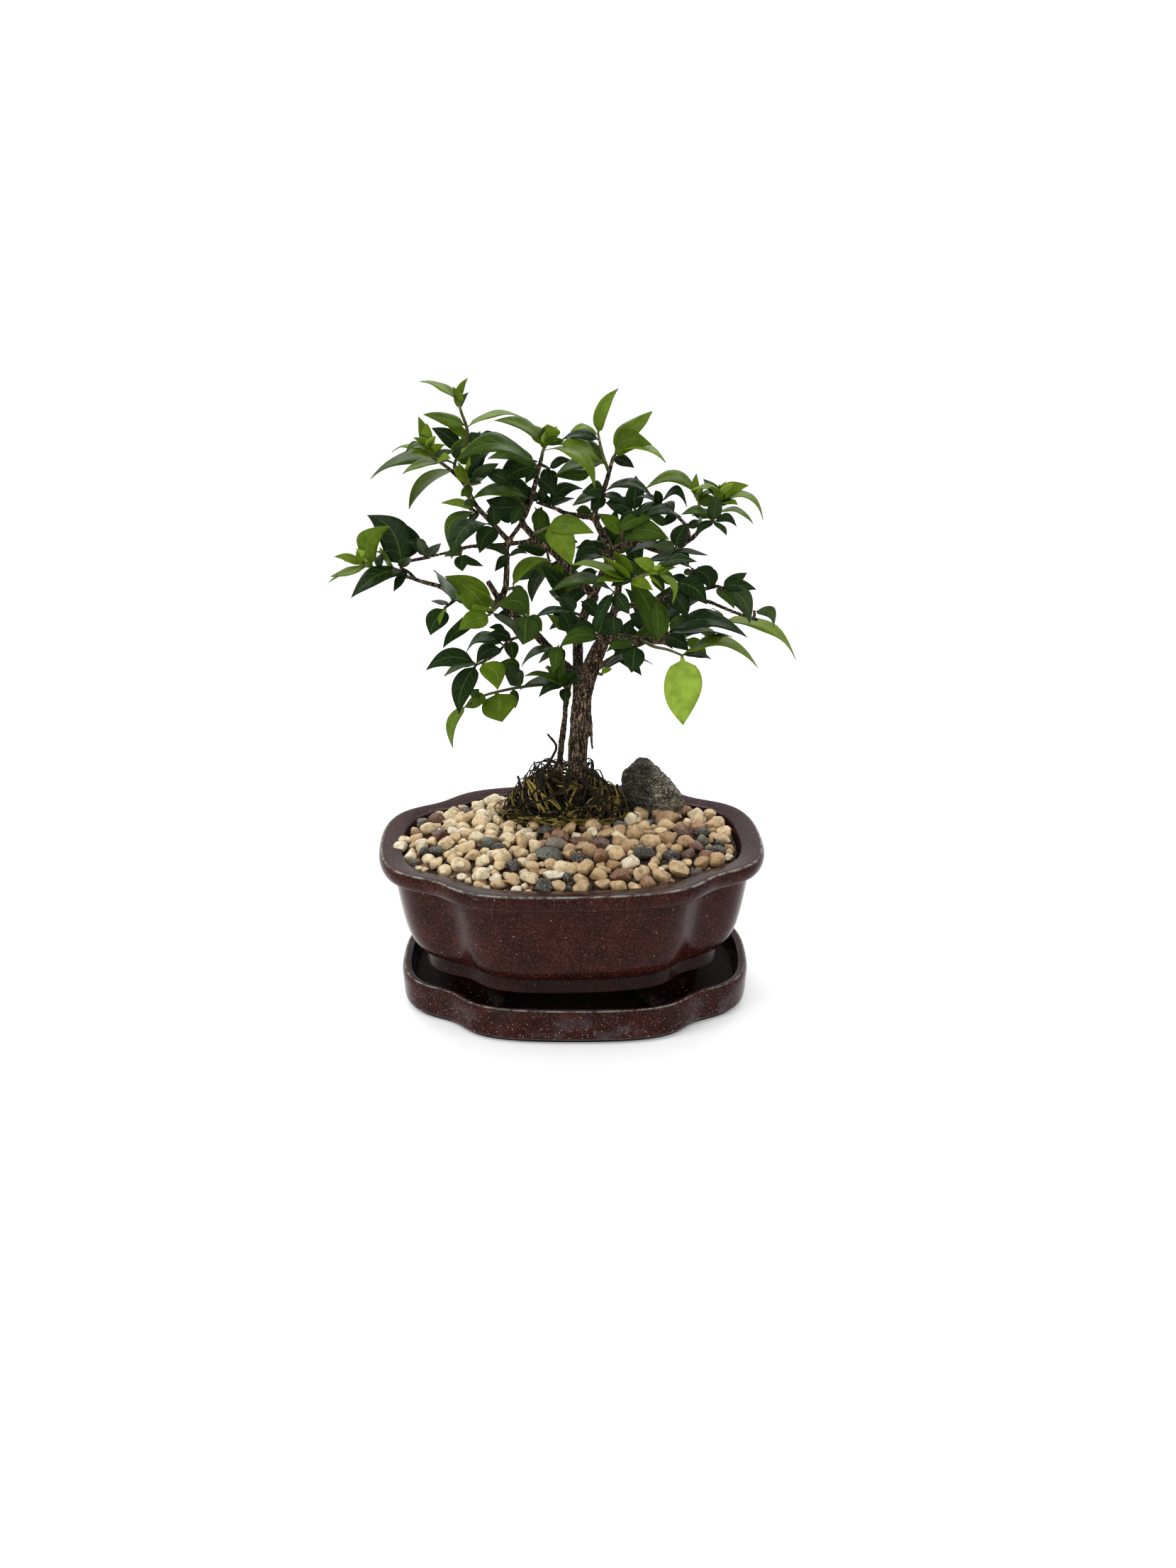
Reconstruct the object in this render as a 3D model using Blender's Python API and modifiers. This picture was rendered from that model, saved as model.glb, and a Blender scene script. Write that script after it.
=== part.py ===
"""Barbados cherry bonsai in a lobed, glazed pot that stands in its drip tray.

Metres, +Z up. The origin is on the tray's underside, under the middle of the pot,
+X is to the right of someone who faces the tree, and +Y points away from them.
"""
import math
import random

import bmesh
import bpy
from mathutils import Vector
from mathutils.bvhtree import BVHTree
from mathutils.geometry import delaunay_2d_cdt

MM = 0.001
SEED = 20
GAP = 0.3                       # clearance between neighbouring pieces, mm

# Pot and tray, in millimetres: half sizes of the lobed outline at each height
POT_TURN = math.radians(3.0)    # the pot stands slightly askew in its tray,
TRAY_X = 1.4                    # and a little left of the tray's middle
CORNER = 2.6                    # squareness of the outline, 2 is an ellipse
OUTLINE_POINTS = 40
NOTCH_ANGLE = math.pi / 4       # where the four notches lie on the outline
NOTCH_SPREAD = 0.25
TRAY_FLOOR = 6.0
FOOT_BOTTOM = TRAY_FLOOR + GAP
ARCH_TOP = 19.3                 # underside of the pot between its four feet
FOOT_REACH = 0.42               # a foot's half spread along the outline, radians
SOIL_TOP = 55.0
POT_FLOOR = 24.0

# Half length, half width, notch depth and height of each row. A row without a height
# lies at the feet's lower edge, which is arched up between them.
POT_ROWS = (
    (46.0, 35.0, 0.06, ARCH_TOP), (47.0, 36.0, 0.06, None), (56.5, 44.2, 0.08, None),
    (57.0, 44.7, 0.08, ARCH_TOP), (63.0, 50.5, 0.09, ARCH_TOP), (61.4, 49.0, 0.09, 24.2),
    (66.0, 52.6, 0.10, 27.0), (70.0, 56.0, 0.11, 35.5), (73.2, 58.8, 0.11, 53.0),
    (73.0, 58.6, 0.10, 59.2), (79.4, 63.2, 0.078, 61.8), (80.3, 64.0, 0.078, 64.6),
    (78.6, 62.4, 0.078, 67.0), (71.6, 55.4, 0.078, 66.6), (69.6, 53.4, 0.078, 62.0),
    (60.0, 46.0, 0.08, POT_FLOOR),
)
SOIL_ROWS = ((60.0, 46.0, 0.08, POT_FLOOR), (67.6, 51.9, 0.08, SOIL_TOP))
TRAY_ROWS = (
    (70.2, 55.2, 0.085, 0.0), (70.4, 55.4, 0.085, 1.6), (72.4, 57.4, 0.085, 1.9),
    (73.4, 58.5, 0.085, 12.8), (72.0, 57.1, 0.085, 15.0), (69.6, 54.7, 0.085, 14.7),
    (67.8, 53.2, 0.085, TRAY_FLOOR),
)
DRAIN_SPOTS = ((-24.0, 0.0), (24.0, 0.0))
DRAIN_RADIUS = 6.0

# What lies on the gravel, in millimetres
BED_EDGE = 62.5
BED_TOP = 67.5                  # level of the gravel under the moss and the stone
BED_SIZE = (69.0, 52.9, 0.08)
BED_TAPER = 0.974               # its lower edge by its upper edge, as the pot narrows
PEBBLE_STEP = 10.4
PEBBLE_RISE = 2.5
PEBBLE_SLOPE = 1.3
PEBBLE_JITTER = 1.5
RIM_CLEAR = 3.6                 # pebble middles stay this far inside the bed's edge,
FOOT_CLEAR = 4.2                # and this far outside the moss and the stone
MOSS_SEAM = 0.8                 # the bed's own flat seams just outside moss and stone
ROCK_SEAM = 0.6
MOSS_MIDDLE = (-2.5, 23.0)
MOSS_SIZE = (27.5, 15.5, 20.0)
MOSS_SLOPE = 1.6                # 2 is a bowl turned over, 1 is a cone
ROCK_MIDDLE = (37.2, 31.0)
ROCK_SIZE = (12.2, 7.0, 22.5)
ROCK_LEAN = -6.5                # how far its top lies to the left
ROCK_TAPER = 0.25
STRANDS = 10
STRAND_RADIUS = 0.85
STRAND_LENGTH = (11.0, 18.0)
STRAND_PLACE = (0.45, 0.86)     # where it starts, as a share of the mound's half size
STRAND_RISE = 1.5               # how far its middle stands off the mound
STRAND_SUNK = 0.7               # how far its ends lie in it
STRAND_LOWEST = 4.0             # no strand lies lower above the gravel than this

# The tree is drawn as it is seen from in front. A spot is x and z where the line of
# sight meets the trunk's upright plane, and how far beyond that plane it lies.
EYE = Vector((7.0, -657.0, 331.0))
TRUNK_PLANE = 18.0
DEPTH_UNIT = 2.0                # what a depth of 1 in the drawing stands for, mm
LEAF_REACH = 0.75               # share of a tip's depth that is used
TRUNK_FOOT = 45.0
TRUNK_X = 2.5
TRUNK_RADIUS = 4.2
TRUNK_TAPER = 4                 # power by which the trunk narrows towards its top
SIDE_STEM_X = -5.0
SIDE_STEM_RADIUS = 1.35
SIDE_STEM_FOOT = 74.0

# Stems and limbs of the trunk: route of spots, then radius at its two ends
LIMBS = (
    ("main_stem", ((TRUNK_X, TRUNK_FOOT, 0), (TRUNK_X, 84, 0), (2.6, 98, 0), (3.6, 110, 0),
                   (4.4, 121, 0), (6.4, 130, 0), (9.2, 138, -1), (11.8, 144, -2),
                   (14.5, 149, -3)), TRUNK_RADIUS, 2.5),
    ("rear_stem", ((3.4, 114, 1), (2.9, 126, 2), (2.8, 140, 4), (3.2, 150, 5), (5.5, 158, 6),
                   (9, 166, 6), (13, 175, 6), (16.2, 184, 6), (13, 191, 6), (10, 197, 6),
                   (10, 201, 6), (12.5, 207, 6), (14.5, 213, 5), (16.5, 220.3, 4)), 2.6, 0.9),
    ("side_stem", ((SIDE_STEM_X, SIDE_STEM_FOOT, 0), (SIDE_STEM_X, 86, 0), (-4.4, 100, 0),
                   (-3.1, 110, 0), (-2.3, 120, 0), (-0.8, 128, 1), (2.2, 136, 3)),
     SIDE_STEM_RADIUS, 1.2),
    ("loose_stem", ((8.8, 99.5, 0), (8.4, 107, 0), (7.9, 115, 0), (7.6, 122, 0), (6.2, 130, 0)),
     0.5, 1.1),
    ("left_limb", ((2, 132, 2), (-3, 136.5, 1), (-8, 142, 0), (-14, 149, -1), (-20, 155, -2),
                   (-28, 162.5, -3), (-26.5, 170, -2), (-26, 180, -1), (-26, 187, 0)), 2.2, 1.1),
    ("limb_fork", ((-28, 162, -3), (-31, 167, -3), (-34, 172, -3)), 1.5, 1.1),
    ("far_left_limb", ((-28, 162.5, -3), (-36, 162.6, -3), (-44, 163.5, -4), (-49, 166.5, -5),
                       (-53, 169.5, -6), (-60, 171.5, -6), (-66, 173.5, -6)), 1.5, 0.8),
    ("upper_limb", ((9, 166, 6), (4, 172, 6), (-4, 181, 5), (-10, 186.5, 4), (-14, 189.5, 3),
                    (-19.5, 196, 3), (-18, 200, 2), (-16, 205, 2), (-14, 212, 1),
                    (-12.6, 218, 0), (-11.5, 222, 0)), 1.9, 0.9),
    ("cross_limb", ((-14, 188.6, 3), (-20, 187.9, 2), (-26, 187.3, 0)), 1.1, 1.0),
    ("fork_limb", ((-26, 185, 0), (-24, 190, 1), (-19.5, 196, 3)), 1.0, 1.0),
    ("thin_left_limb", ((-26, 187, 0), (-36, 186.5, -2), (-42, 186, -3), (-49, 184, -4),
                        (-57, 182.1, -5)), 1.0, 0.6),
    ("high_left_limb", ((-25, 188.5, 0), (-30, 194, 2), (-38, 203, 3), (-42, 211, 3),
                        (-46, 215.5, 3), (-49.5, 218.5, 3)), 1.2, 0.8),
    ("arm", ((9.5, 198, 6), (2, 199, 7), (-2, 199.8, 7), (-6, 201.7, 8)), 1.3, 0.9),
    ("right_limb", ((16, 184, 6), (21, 186.5, 5), (27, 187.5, 5), (34, 185, 4), (41.5, 183.5, 3),
                    (46, 187.5, 3), (50, 190.5, 3), (52.5, 193.5, 3), (56.5, 196.5, 3)),
     1.5, 0.9),
    ("front_stub", ((14.5, 149, -3), (17, 157, -8), (19, 165, -14), (19.8, 174.5, -16)),
     2.0, 1.4),
    ("far_right_limb", ((18, 160, -10), (30, 163, -5), (40, 165, -1), (50, 167.5, 0),
                        (58, 169.5, 0)), 1.3, 0.8),
    ("bare_twig", ((44, 165.9, 0), (56, 163.5, -1), (66, 159.3, -2), (77, 155.5, -2)), 0.9, 0.7),
    ("low_right_limb", ((14.5, 149, -3), (22, 148, -5), (30, 147, -6), (38, 146.7, -7),
                        (44.5, 147.5, -7)), 1.8, 1.4),
    ("rear_right_limb", ((9.5, 134, 0), (15, 138, 4), (21, 141.5, 9), (28, 145, 15)), 1.4, 1.0),
    ("rear_limb", ((3, 150, 5), (0, 158, 11), (-5, 166, 19), (-8, 176, 25)), 1.5, 0.9),
    ("rear_high_limb", ((13, 175, 6), (17, 181, 12), (22, 190, 20)), 1.3, 0.9),
)

TWIG_RADIUS = (0.8, 0.55)
BLADE = 0.7                     # thickness of a leaf blade, mm
MAX_WIDTH = 12.0                # widest leaf that is drawn narrower where it is seen on edge
LEAF_STEPS = 25                 # tries to settle a leaf, each tip swung one swing further
LEAF_SWING = 2.0
NARROWED = 0.75                 # its width where it finds no room at its full width
FIRST_LEAF = 1.4                # least distance of a leaf from its twig's start,
LAST_LEAF = 0.5                 # and from its end
TWIG_STEPS = 24                 # tries to start a twig clear of its limb, each cut back
TWIG_STEP = 0.3                 # one step further
BLADE_RATIO = 0.40              # real width of a leaf by its length
BROAD_LEAF = 9.0                # a leaf this wide, as it is seen, is folded at its midrib
LONG_LEAF = 26.0                # a longer leaf gets one more row
SLIGHT_LEAF = 4.0               # a leaf seen narrower than this has one row less
SLIGHT_ROWS = ((0.0, 0.0), (0.42, 1.0), (1.0, 0.0))
SHORT_ROWS = ((0.0, 0.0), (0.34, 1.0), (0.70, 0.80), (1.0, 0.0))
LONG_ROWS = ((0.0, 0.0), (0.24, 0.86), (0.52, 1.0), (0.78, 0.62), (1.0, 0.0))
FOLD = 0.16                     # how far a broad leaf is folded up along its midrib

# Leafy twigs. Each has its colour, the twig's route of spots, and its leaves:
# place along the twig from 0 to 1, the tip's x and z, how far the tip reaches away
# behind its base, the width as seen from in front, and how far the leaf arches
SPRAYS = (
    ("left_tip", "young", ((-66, 173.5, -6), (-71.5, 175.3, -6), (-76, 176.6, -6),
                           (-81, 177.8, -6), (-86, 178.7, -6)), (
        (0.80, -99, 171.2, 2, 2.2, 1), (0.9, -98, 173.8, -4, 3, -1), (1.0, -96, 182, 0, 3.5, 1),
        (0.72, -72.5, 194.5, -6, 9, 6), (0.35, -77.5, 186, -4, 2.5, 0),
        (0.55, -73.5, 184.6, -5, 2.5, 2))),
    ("left_big", "dark", ((-63.5, 172.8, -6), (-66, 175.6, -7), (-69.5, 177.6, -8)), (
        (1.0, -82, 199, 4, 13, 5), (0.3, -90, 165, -2, 7, 2.5), (0.5, -72.5, 167.6, -6, 3.5, 0),
        (0.9, -65.5, 182, -6, 4, 0))),
    ("left_high", "dark", ((-57, 182.1, -5), (-61, 181.2, -5), (-65.5, 180.3, -4),
                           (-69.5, 179.4, -3)), (
        (0.15, -68, 187.7, -4, 4.5, 3), (0.1, -62, 190, -5, 4, 0), (0.12, -52.5, 187.5, -5, 3.5, 0),
        (0.8, -69.5, 197, 6, 9, 3), (1.0, -79, 184, 6, 4, 1))),
    ("left_middle", "dark", ((-44, 185.6, -3.5), (-44.6, 184.2, -7), (-44.8, 182.6, -9)), (
        (1.0, -44, 176, -3, 6, 0), (0.9, -51.5, 182, -4, 3.2, 1), (1.0, -35.6, 178.2, -2, 3, -1),
        (0.9, -50, 189, 4, 4, 1))),
    ("left_front", "mid", ((-29, 162.6, -3), (-31.5, 160, -8), (-33.6, 157.8, -12)), (
        (0.9, -51.5, 174, 2, 12, 2), (1.0, -46.3, 151.3, -4, 8, 1), (0.8, -20, 146, -6, 3.5, 1),
        (0.6, -41.5, 170, -8, 3, 0), (0.7, -40, 162.3, -9, 3, -1.5), (1.0, -53, 143.7, 5, 6, 1.5))),
    ("left_stub", "dark", ((-46.5, 164.8, -4.5), (-49.5, 162.5, -7), (-52, 160.5, -8)), (
        (1.0, -58, 149, -3, 8.5, 1), (0.9, -54, 153.6, -5, 2.2, 0), (0.6, -57.3, 163.6, 3, 1.8, 0),
        (0.3, -56, 176.3, -3, 4, 0))),
    ("left_arch", "dark", ((-36, 200.7, 3), (-37.5, 200.3, -1), (-39.5, 201.5, -4)), (
        (0.6, -48.5, 184.5, -3, 5, 5), (0.5, -40.3, 194.8, -6, 3, 0), (1.0, -52, 203.8, 2, 3, 1))),
    ("high_left_young", "young", ((-49.5, 218.5, 3), (-52, 220.3, 2), (-55, 222.3, 1),
                                  (-56.5, 225.5, 0)), (
        (0.2, -67, 215.6, -3, 3, 1), (1.0, -56.6, 235.6, -3, 5, 0.5), (1.0, -60, 238.2, 2, 4.5, 0),
        (0.85, -71, 224.2, 3, 1.8, 2), (0.9, -65.5, 224, -4, 1.8, 3), (0.7, -49.5, 227, -4, 3, 1),
        (0.6, -46, 224.6, 2, 3, 0.5), (0.4, -47.5, 221.6, -5, 3, 0.5))),
    ("high_left_dark", "dark", ((-46, 215.5, 3), (-46, 220, 7), (-43.5, 225, 9)), (
        (1.0, -55, 233.7, 2, 6.5, 1.5), (0.45, -80, 213.5, 2, 5.5, 4.5),
        (0.15, -65, 201.4, 3, 5, 3), (1.0, -36, 232, 0, 4, 0), (1.0, -28, 231, 4, 3.5, 1),
        (0.6, -34, 222, 6, 6, 1))),
    ("top_shoot", "young", ((-43.5, 225, 9), (-40.8, 229, 8), (-41, 234, 8), (-43, 240, 7),
                            (-44, 244.5, 7)), (
        (1.0, -59, 251.6, 0, 2.6, 1.5), (1.0, -40, 253, 0, 3, 0.8), (0.5, -58, 239, -3, 5, 2.5),
        (0.45, -18.5, 237.6, 3, 2.2, 4.5), (0.25, -49.5, 235.6, 5, 4, 0.5))),
    ("inner_high_left", "dark", ((-42, 211, 3), (-40.5, 211.6, -2), (-39, 211.4, -5)), (
        (1.0, -28.5, 219.7, -3, 5, 1), (0.9, -31, 226, -5, 3.5, 1), (0.6, -45.5, 219, -4, 5, 0),
        (0.8, -35, 214, -6, 3, 0), (0.3, -41, 205.5, -5, 4, 0))),
    ("crown_left_dark", "dark", ((-12.8, 217, 0.5), (-13.4, 218.4, -4), (-13.8, 219.4, -6)), (
        (1.0, -46, 220.2, -4, 8, 6), (0.5, -33, 221.5, 1, 6, 3), (0.7, -27.5, 213.5, 5, 7, 1),
        (0.5, -18, 211.7, 4, 4, 0))),
    ("crown_left_young", "young", ((-11.5, 222, 0), (-10.8, 225, -1), (-9.4, 227.4, -1)), (
        (0.8, -30, 236.6, -3, 5, 4.5), (1.0, -14.7, 234.8, 6, 6.5, 0), (1.0, -5.2, 234.4, 8, 4, 0),
        (0.9, -2.5, 228.8, -5, 3.5, 0.5), (0.5, 9.7, 209.6, -8, 5, 5.5))),
    ("crown_inner", "dark", ((-12.2, 219.5, 0.2), (-10, 218.5, 4), (-8.5, 217.5, 8)), (
        (1.0, 1, 220.4, 0, 3.5, 1.5), (1.0, -6, 208.5, -3, 5, 0), (0.9, -12, 211.5, 2, 4, 0))),
    ("crown_middle", "dark", ((12.5, 207, 6), (13.4, 207.6, 2), (13.2, 208, 0)), (
        (1.0, 33, 206, -4, 4, 4), (0.7, 22, 203.2, -5, 3.5, 0.5), (1.0, 4.5, 208.3, -6, 6.5, 1.5),
        (0.8, 0.7, 202.8, -4, 3.5, 0.5), (0.6, 8, 200.8, -3, 6, 0))),
    ("crown_right", "mid", ((16.5, 220.3, 4), (17, 222, 3.6), (18, 223.5, 3)), (
        (0.6, 32.5, 227, -3, 9.5, 5), (0.8, 38, 220, -5, 2.5, 4.5), (0.6, 25.5, 218, 5, 4.5, 0),
        (1.0, 32.5, 240.3, 4, 7.5, 1))),
    ("crown_thin_shoot", "young", ((15.3, 216.4, 4.5), (13.4, 221.5, 1), (12, 226.5, 0),
                                   (11, 231.4, 0)), (
        (1.0, 19, 249, 0, 5.5, 2), (0.95, 0, 232.2, -4, 2.4, 2), (0.85, -3.5, 229, 3, 4, 2),
        (0.3, -4, 226, -5, 6, 3), (0.2, -6.5, 214, 4, 5, 2))),
    ("arm_tip", "dark", ((-6, 201.7, 8), (-10, 203, 8), (-13.6, 204.2, 7)), (
        (0.2, 1.6, 205.7, -5, 2.4, 0.5), (0.25, 5, 209.5, 4, 6, 3.5),
        (0.7, -9.6, 213.3, 5, 4, 0), (1.0, -17.5, 211, 4, 4, 0))),
    ("middle_light", "mid", ((-15.5, 191, 3), (-12, 193, -1), (-9.6, 194, -4)), (
        (1.0, 9.6, 191.6, -5, 8, 2), (1.0, 0.3, 178.3, -8, 10.5, 2.5), (0.2, -9.4, 189.4, 5, 7.5, 1),
        (0.5, -11.5, 202.5, 4, 6, 1))),
    ("middle_dark", "dark", ((14.6, 180, 6), (13, 183, 1), (11.5, 185, -2)), (
        (1.0, 1.8, 182, -4, 6, 2.5), (0.4, 1, 175.5, -9, 5, 2))),
    ("stub_young", "young", ((19.7, 171, -15.5), (24.5, 172.4, -18), (30, 174.5, -19),
                             (35.5, 175.3, -19)), (
        (1.0, 42.7, 177.6, 0, 2.6, 0.5), (1.0, 41.5, 162.5, -3, 2.6, 3), (0.9, 25.5, 181, -3, 5, 1.5),
        (0.25, 33.7, 168, -6, 4.5, 0.5), (0.2, 17.5, 184, -4, 6, 1), (0.16, 0.5, 178.6, -3, 3.5, 2),
        (0.18, 12.4, 182.3, -8, 2.6, 0.5), (0.14, 10.3, 171.5, -6, 3, 1),
        (0.85, 38, 166.5, -1, 4, 0.5), (0.4, 34, 179, 3, 4, 0))),
    ("stub_dark", "dark", ((19.2, 166.5, -14.3), (18.4, 167, -18), (17.5, 167.3, -20)), (
        (1.0, -8.7, 167, -3, 4.5, 4), (0.9, 9.5, 150.8, -3, 4.5, 0),
        (0.8, 24, 158, -4, 6, 0))),
    ("stem_front", "dark", ((5.2, 157, 6), (3, 158, 0), (0.8, 158.8, -4)), (
        (1.0, -14.7, 156.7, -3, 3.4, 1.5), (1.0, -1.6, 149.5, -6, 7, 0), (0.8, -9, 151.5, -3, 4, 0),
        (0.9, -4, 166, 3, 5, 1))),
    ("fork_front", "dark", ((12.3, 145, -2), (11.8, 147, -7), (10.8, 149, -9)), (
        (1.0, -4.8, 144, -2, 6.5, 2.5), (1.0, -1, 150.5, 1, 5.5, 3), (1.0, 16, 158.8, -3, 8, 1))),
    ("limb_front", "dark", ((-5.5, 139.3, 0.5), (-4.6, 142, -4), (-3.9, 145, -6)), (
        (1.0, -6, 132.6, -3, 6.5, 1), (0.35, -20.6, 135.6, -2, 3, 3.5), (0.7, -13.5, 137, 2, 3, 1))),
    ("stem_cluster", "dark", ((-1.7, 124, 0), (-2.4, 126.4, -4), (-3.3, 127.6, -6)), (
        (1.0, -19.5, 131.6, -3, 3, 1.5), (0.8, -21.5, 125.4, 3, 4, 2.5), (1.0, -10.6, 136.4, -5, 5, 1),
        (1.0, -3, 138.6, -3, 3.5, 0), (0.9, -13.6, 122.4, -4, 4, 2), (0.7, -2.4, 119.4, -4, 5, 0),
        (0.9, 2, 134.4, -4, 4, 0), (0.9, 6, 130.4, -5, 3, 1))),
    ("low_twig", "dark", ((-15.4, 150.3, -1.2), (-20, 148.8, -4), (-24, 147.6, -6),
                          (-27, 145.5, -7), (-30, 142, -8)), (
        (0.55, -34.4, 149.6, -2, 5, 1), (0.8, -44, 140.2, 5, 4.5, 5), (0.9, -39.3, 137.2, -5, 6.5, 2),
        (0.6, -24, 138, 4, 6, 0))),
    ("low_left", "dark", ((-30, 142, -8), (-35, 138.6, -8), (-39.6, 136.5, -8)), (
        (1.0, -60.5, 134, -2, 8, 4), (1.0, -47, 114.9, -4, 9, 2.5), (0.9, -53, 131.4, -6, 2.8, 1),
        (0.8, -30.8, 125.4, -2, 9.5, 3))),
    ("hanging_left", "mid", ((-1.2, 127.5, 0.5), (-10, 128, 5), (-20, 127, 3), (-30, 125, -3),
                             (-37.5, 122.7, -6), (-44, 118.6, -8)), (
        (0.72, -29, 111.5, -2, 15, 0), (1.0, -50, 99.8, -2, 4.5, 3), (0.92, -38.5, 126, -4, 4.5, 1),
        (0.5, -31, 137, 2, 6.5, 3), (0.48, -21, 134, -3, 4, 0), (0.52, -23.5, 117.4, -3, 4, 0))),
    ("limb_light", "mid", ((-20.5, 155.5, -2), (-19, 157, -7), (-17.6, 157.4, -10)), (
        (1.0, -20, 145, -3, 12, 0), (1.0, -30.8, 162.3, -4, 9, 4), (0.9, -12, 150.5, 2, 5, 1))),
    ("upright_light", "mid", ((-26.6, 168.5, -2.2), (-24.6, 168.9, -4), (-23.4, 169.3, -5)), (
        (1.0, -7.6, 180.6, 3, 5, 3.5), (0.8, -19, 165, -5, 4, 1))),
    ("upright_dark", "dark", ((-26, 181, -1), (-25.4, 182, -4), (-25, 182.6, -5)), (
        (1.0, -17.6, 183.3, -2, 2.2, 1), (1.0, -34.4, 185.4, -3, 3, 1), (1.0, -31, 176, 4, 4, 0))),
    ("cross_dark", "dark", ((-28.5, 192.3, 1.5), (-29.6, 194, -3), (-31, 194.6, -5)), (
        (1.0, -48.5, 181, -4, 7.5, 5), (0.6, -37, 183.4, -6, 8, 2), (0.8, -31.5, 203.4, -2, 6, 0))),
    ("upper_middle", "dark", ((-17.6, 201.4, 2), (-18.8, 202.8, -3), (-19.6, 203.8, -5)), (
        (1.0, -39.8, 205, -3, 4.2, 4.5), (0.6, -28, 214, 5, 11, 1), (0.5, -34, 200, 6, 8, 1),
        (0.9, -24, 195, -3, 5, 0))),
    ("right_high", "dark", ((48, 189, 3), (47, 194, 7), (43, 198.4, 9), (38, 201.4, 10),
                            (36, 204.2, 10)), (
        (1.0, 46.8, 202, -3, 4, 6), (0.95, 41.6, 200.2, -6, 3, 2), (1.0, 34, 209, -3, 4, 0),
        (0.95, 26, 205.8, 3, 2, 1.5), (0.8, 27, 199, -5, 4, 2), (0.5, 30, 198.4, -8, 4, 2.5),
        (0.3, 52.3, 196.8, -2, 3.5, 0), (0.6, 37, 194.5, 3, 4, 1))),
    ("right_young", "young", ((56.5, 196.5, 3), (58.7, 199.4, 2), (60, 202.4, 2),
                              (60.8, 205.4, 2)), (
        (1.0, 71.5, 211, -2, 5.5, 2.5), (0.95, 70.5, 208.4, -6, 3, 0.5), (0.9, 77.5, 197, -2, 2.6, 6),
        (0.8, 67.2, 203.2, -7, 2.2, 0.5), (0.45, 73.5, 195.6, -4, 2.2, 2), (1.0, 53, 213.6, 4, 4, 0),
        (0.7, 64.2, 206, -4, 2.6, 0))),
    ("right_light", "mid", ((52.2, 193.2, 3), (52.2, 198, 9), (51.7, 203, 11), (51, 207.2, 11)), (
        (1.0, 30, 209.6, -3, 5.5, 5.5), (0.95, 60.2, 208.9, -3, 2, 0.5), (0.9, 60, 204.6, -5, 5, 0))),
    ("right_dark", "dark", ((55.5, 195.8, 3), (57, 196.4, -1), (58, 196.4, -3)), (
        (0.9, 51, 190.2, -3, 3.6, 1.5), (1.0, 67, 194.2, -3, 3.6, 2.5), (1.0, 63, 190.8, -6, 2.4, 0),
        (0.7, 44.5, 199.2, -5, 3.6, 2.5), (0.8, 58.6, 207, -3, 6, 0))),
    ("right_inner", "mid", ((21.2, 186.6, 5), (21.2, 189, 0), (20.8, 191.4, -2)), (
        (1.0, 28.6, 200, -2, 7, 2), (0.8, 40, 189, -4, 9, 3.5), (0.9, 11.2, 199.6, -2, 6, 1),
        (1.0, 19.4, 197.5, -5, 2.4, 0))),
    ("right_node", "dark", ((41.5, 183.5, 3), (42, 184.6, -2), (42.6, 185.6, -4)), (
        (1.0, 33, 186.2, -3, 5, 0.5), (1.0, 47.2, 195.8, -2, 7, 1), (0.7, 55.5, 182.6, -2, 2, 0),
        (0.6, 22.5, 182.4, 2, 3.2, 2.5), (0.8, 48, 178.6, 3, 4, 1))),
    ("right_level", "dark", ((47, 166.8, 0), (47.6, 170.5, -4), (48.8, 174.6, -5),
                             (49.6, 177.4, -5)), (
        (1.0, 30, 179.6, -2, 4.2, 3), (0.95, 56.6, 168.2, 2, 8, 3), (0.5, 41, 174, 3, 4, 1))),
    ("right_broad", "dark", ((40, 165, -1), (41.2, 168, -6), (42.3, 171, -8)), (
        (1.0, 55.8, 162, -3, 9, 3), (0.6, 47.4, 156.2, -6, 8, 1), (1.0, 33.5, 175.5, 2, 5, 1))),
    ("far_right", "dark", ((58, 169.5, 0), (60, 169.8, -2), (62, 169.2, -4)), (
        (0.7, 73.6, 154, -4, 8.5, 4), (0.5, 67, 160.4, -8, 4.5, 0), (1.0, 71.8, 175.4, 3, 5, 0),
        (1.0, 75.8, 168.4, 0, 5, 1), (0.1, 51.5, 178, 2, 7, 1))),
    ("far_right_low", "dark", ((75, 156.2, -2), (75.4, 158, -5), (75.2, 159.4, -6)), (
        (1.0, 83.4, 152.4, -2, 5, 4),)),
    ("low_right_young", "young", ((29.4, 147.1, -6), (34, 144.4, -9), (40, 143, -10),
                                  (46.4, 140.4, -11)), (
        (1.0, 47, 110, -2, 15.5, 0), (0.97, 77.5, 135.2, -4, 5, 6), (1.0, 58.2, 138.8, 3, 3, 1))),
    ("low_right_arch", "young", ((44.5, 147.5, -7), (52, 151, -1), (61, 154.6, 2)), (
        (1.0, 93.2, 138.6, -2, 4.6, 6), (1.0, 57.5, 160.6, -4, 2, 1.5), (0.6, 60, 146, 3, 4, 1))),
    ("low_right_dark", "dark", ((38, 146.7, -7), (39.4, 149.4, -11), (41, 150.6, -12)), (
        (1.0, 72.8, 148.2, -2, 7, 4.5), (0.8, 67, 148.3, 5, 2.2, 0.5), (0.6, 48.8, 142.4, 6, 7, 1),
        (0.9, 52, 157.5, 5, 5, 1))),
    ("low_right_front", "mid", ((34, 146.8, -6.5), (35, 146.6, -11), (35.6, 147, -13)), (
        (1.0, 35.3, 164.4, -4, 6.5, 0), (0.4, 24, 174, -5, 10, 2))),
    ("hanging_dark", "dark", ((26, 147.5, -5.5), (26.4, 145.8, -9), (26.8, 144.6, -10)), (
        (1.0, 25, 133, -3, 9, 0), (0.8, 14.6, 142, -2, 4, 1.5))),
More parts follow.
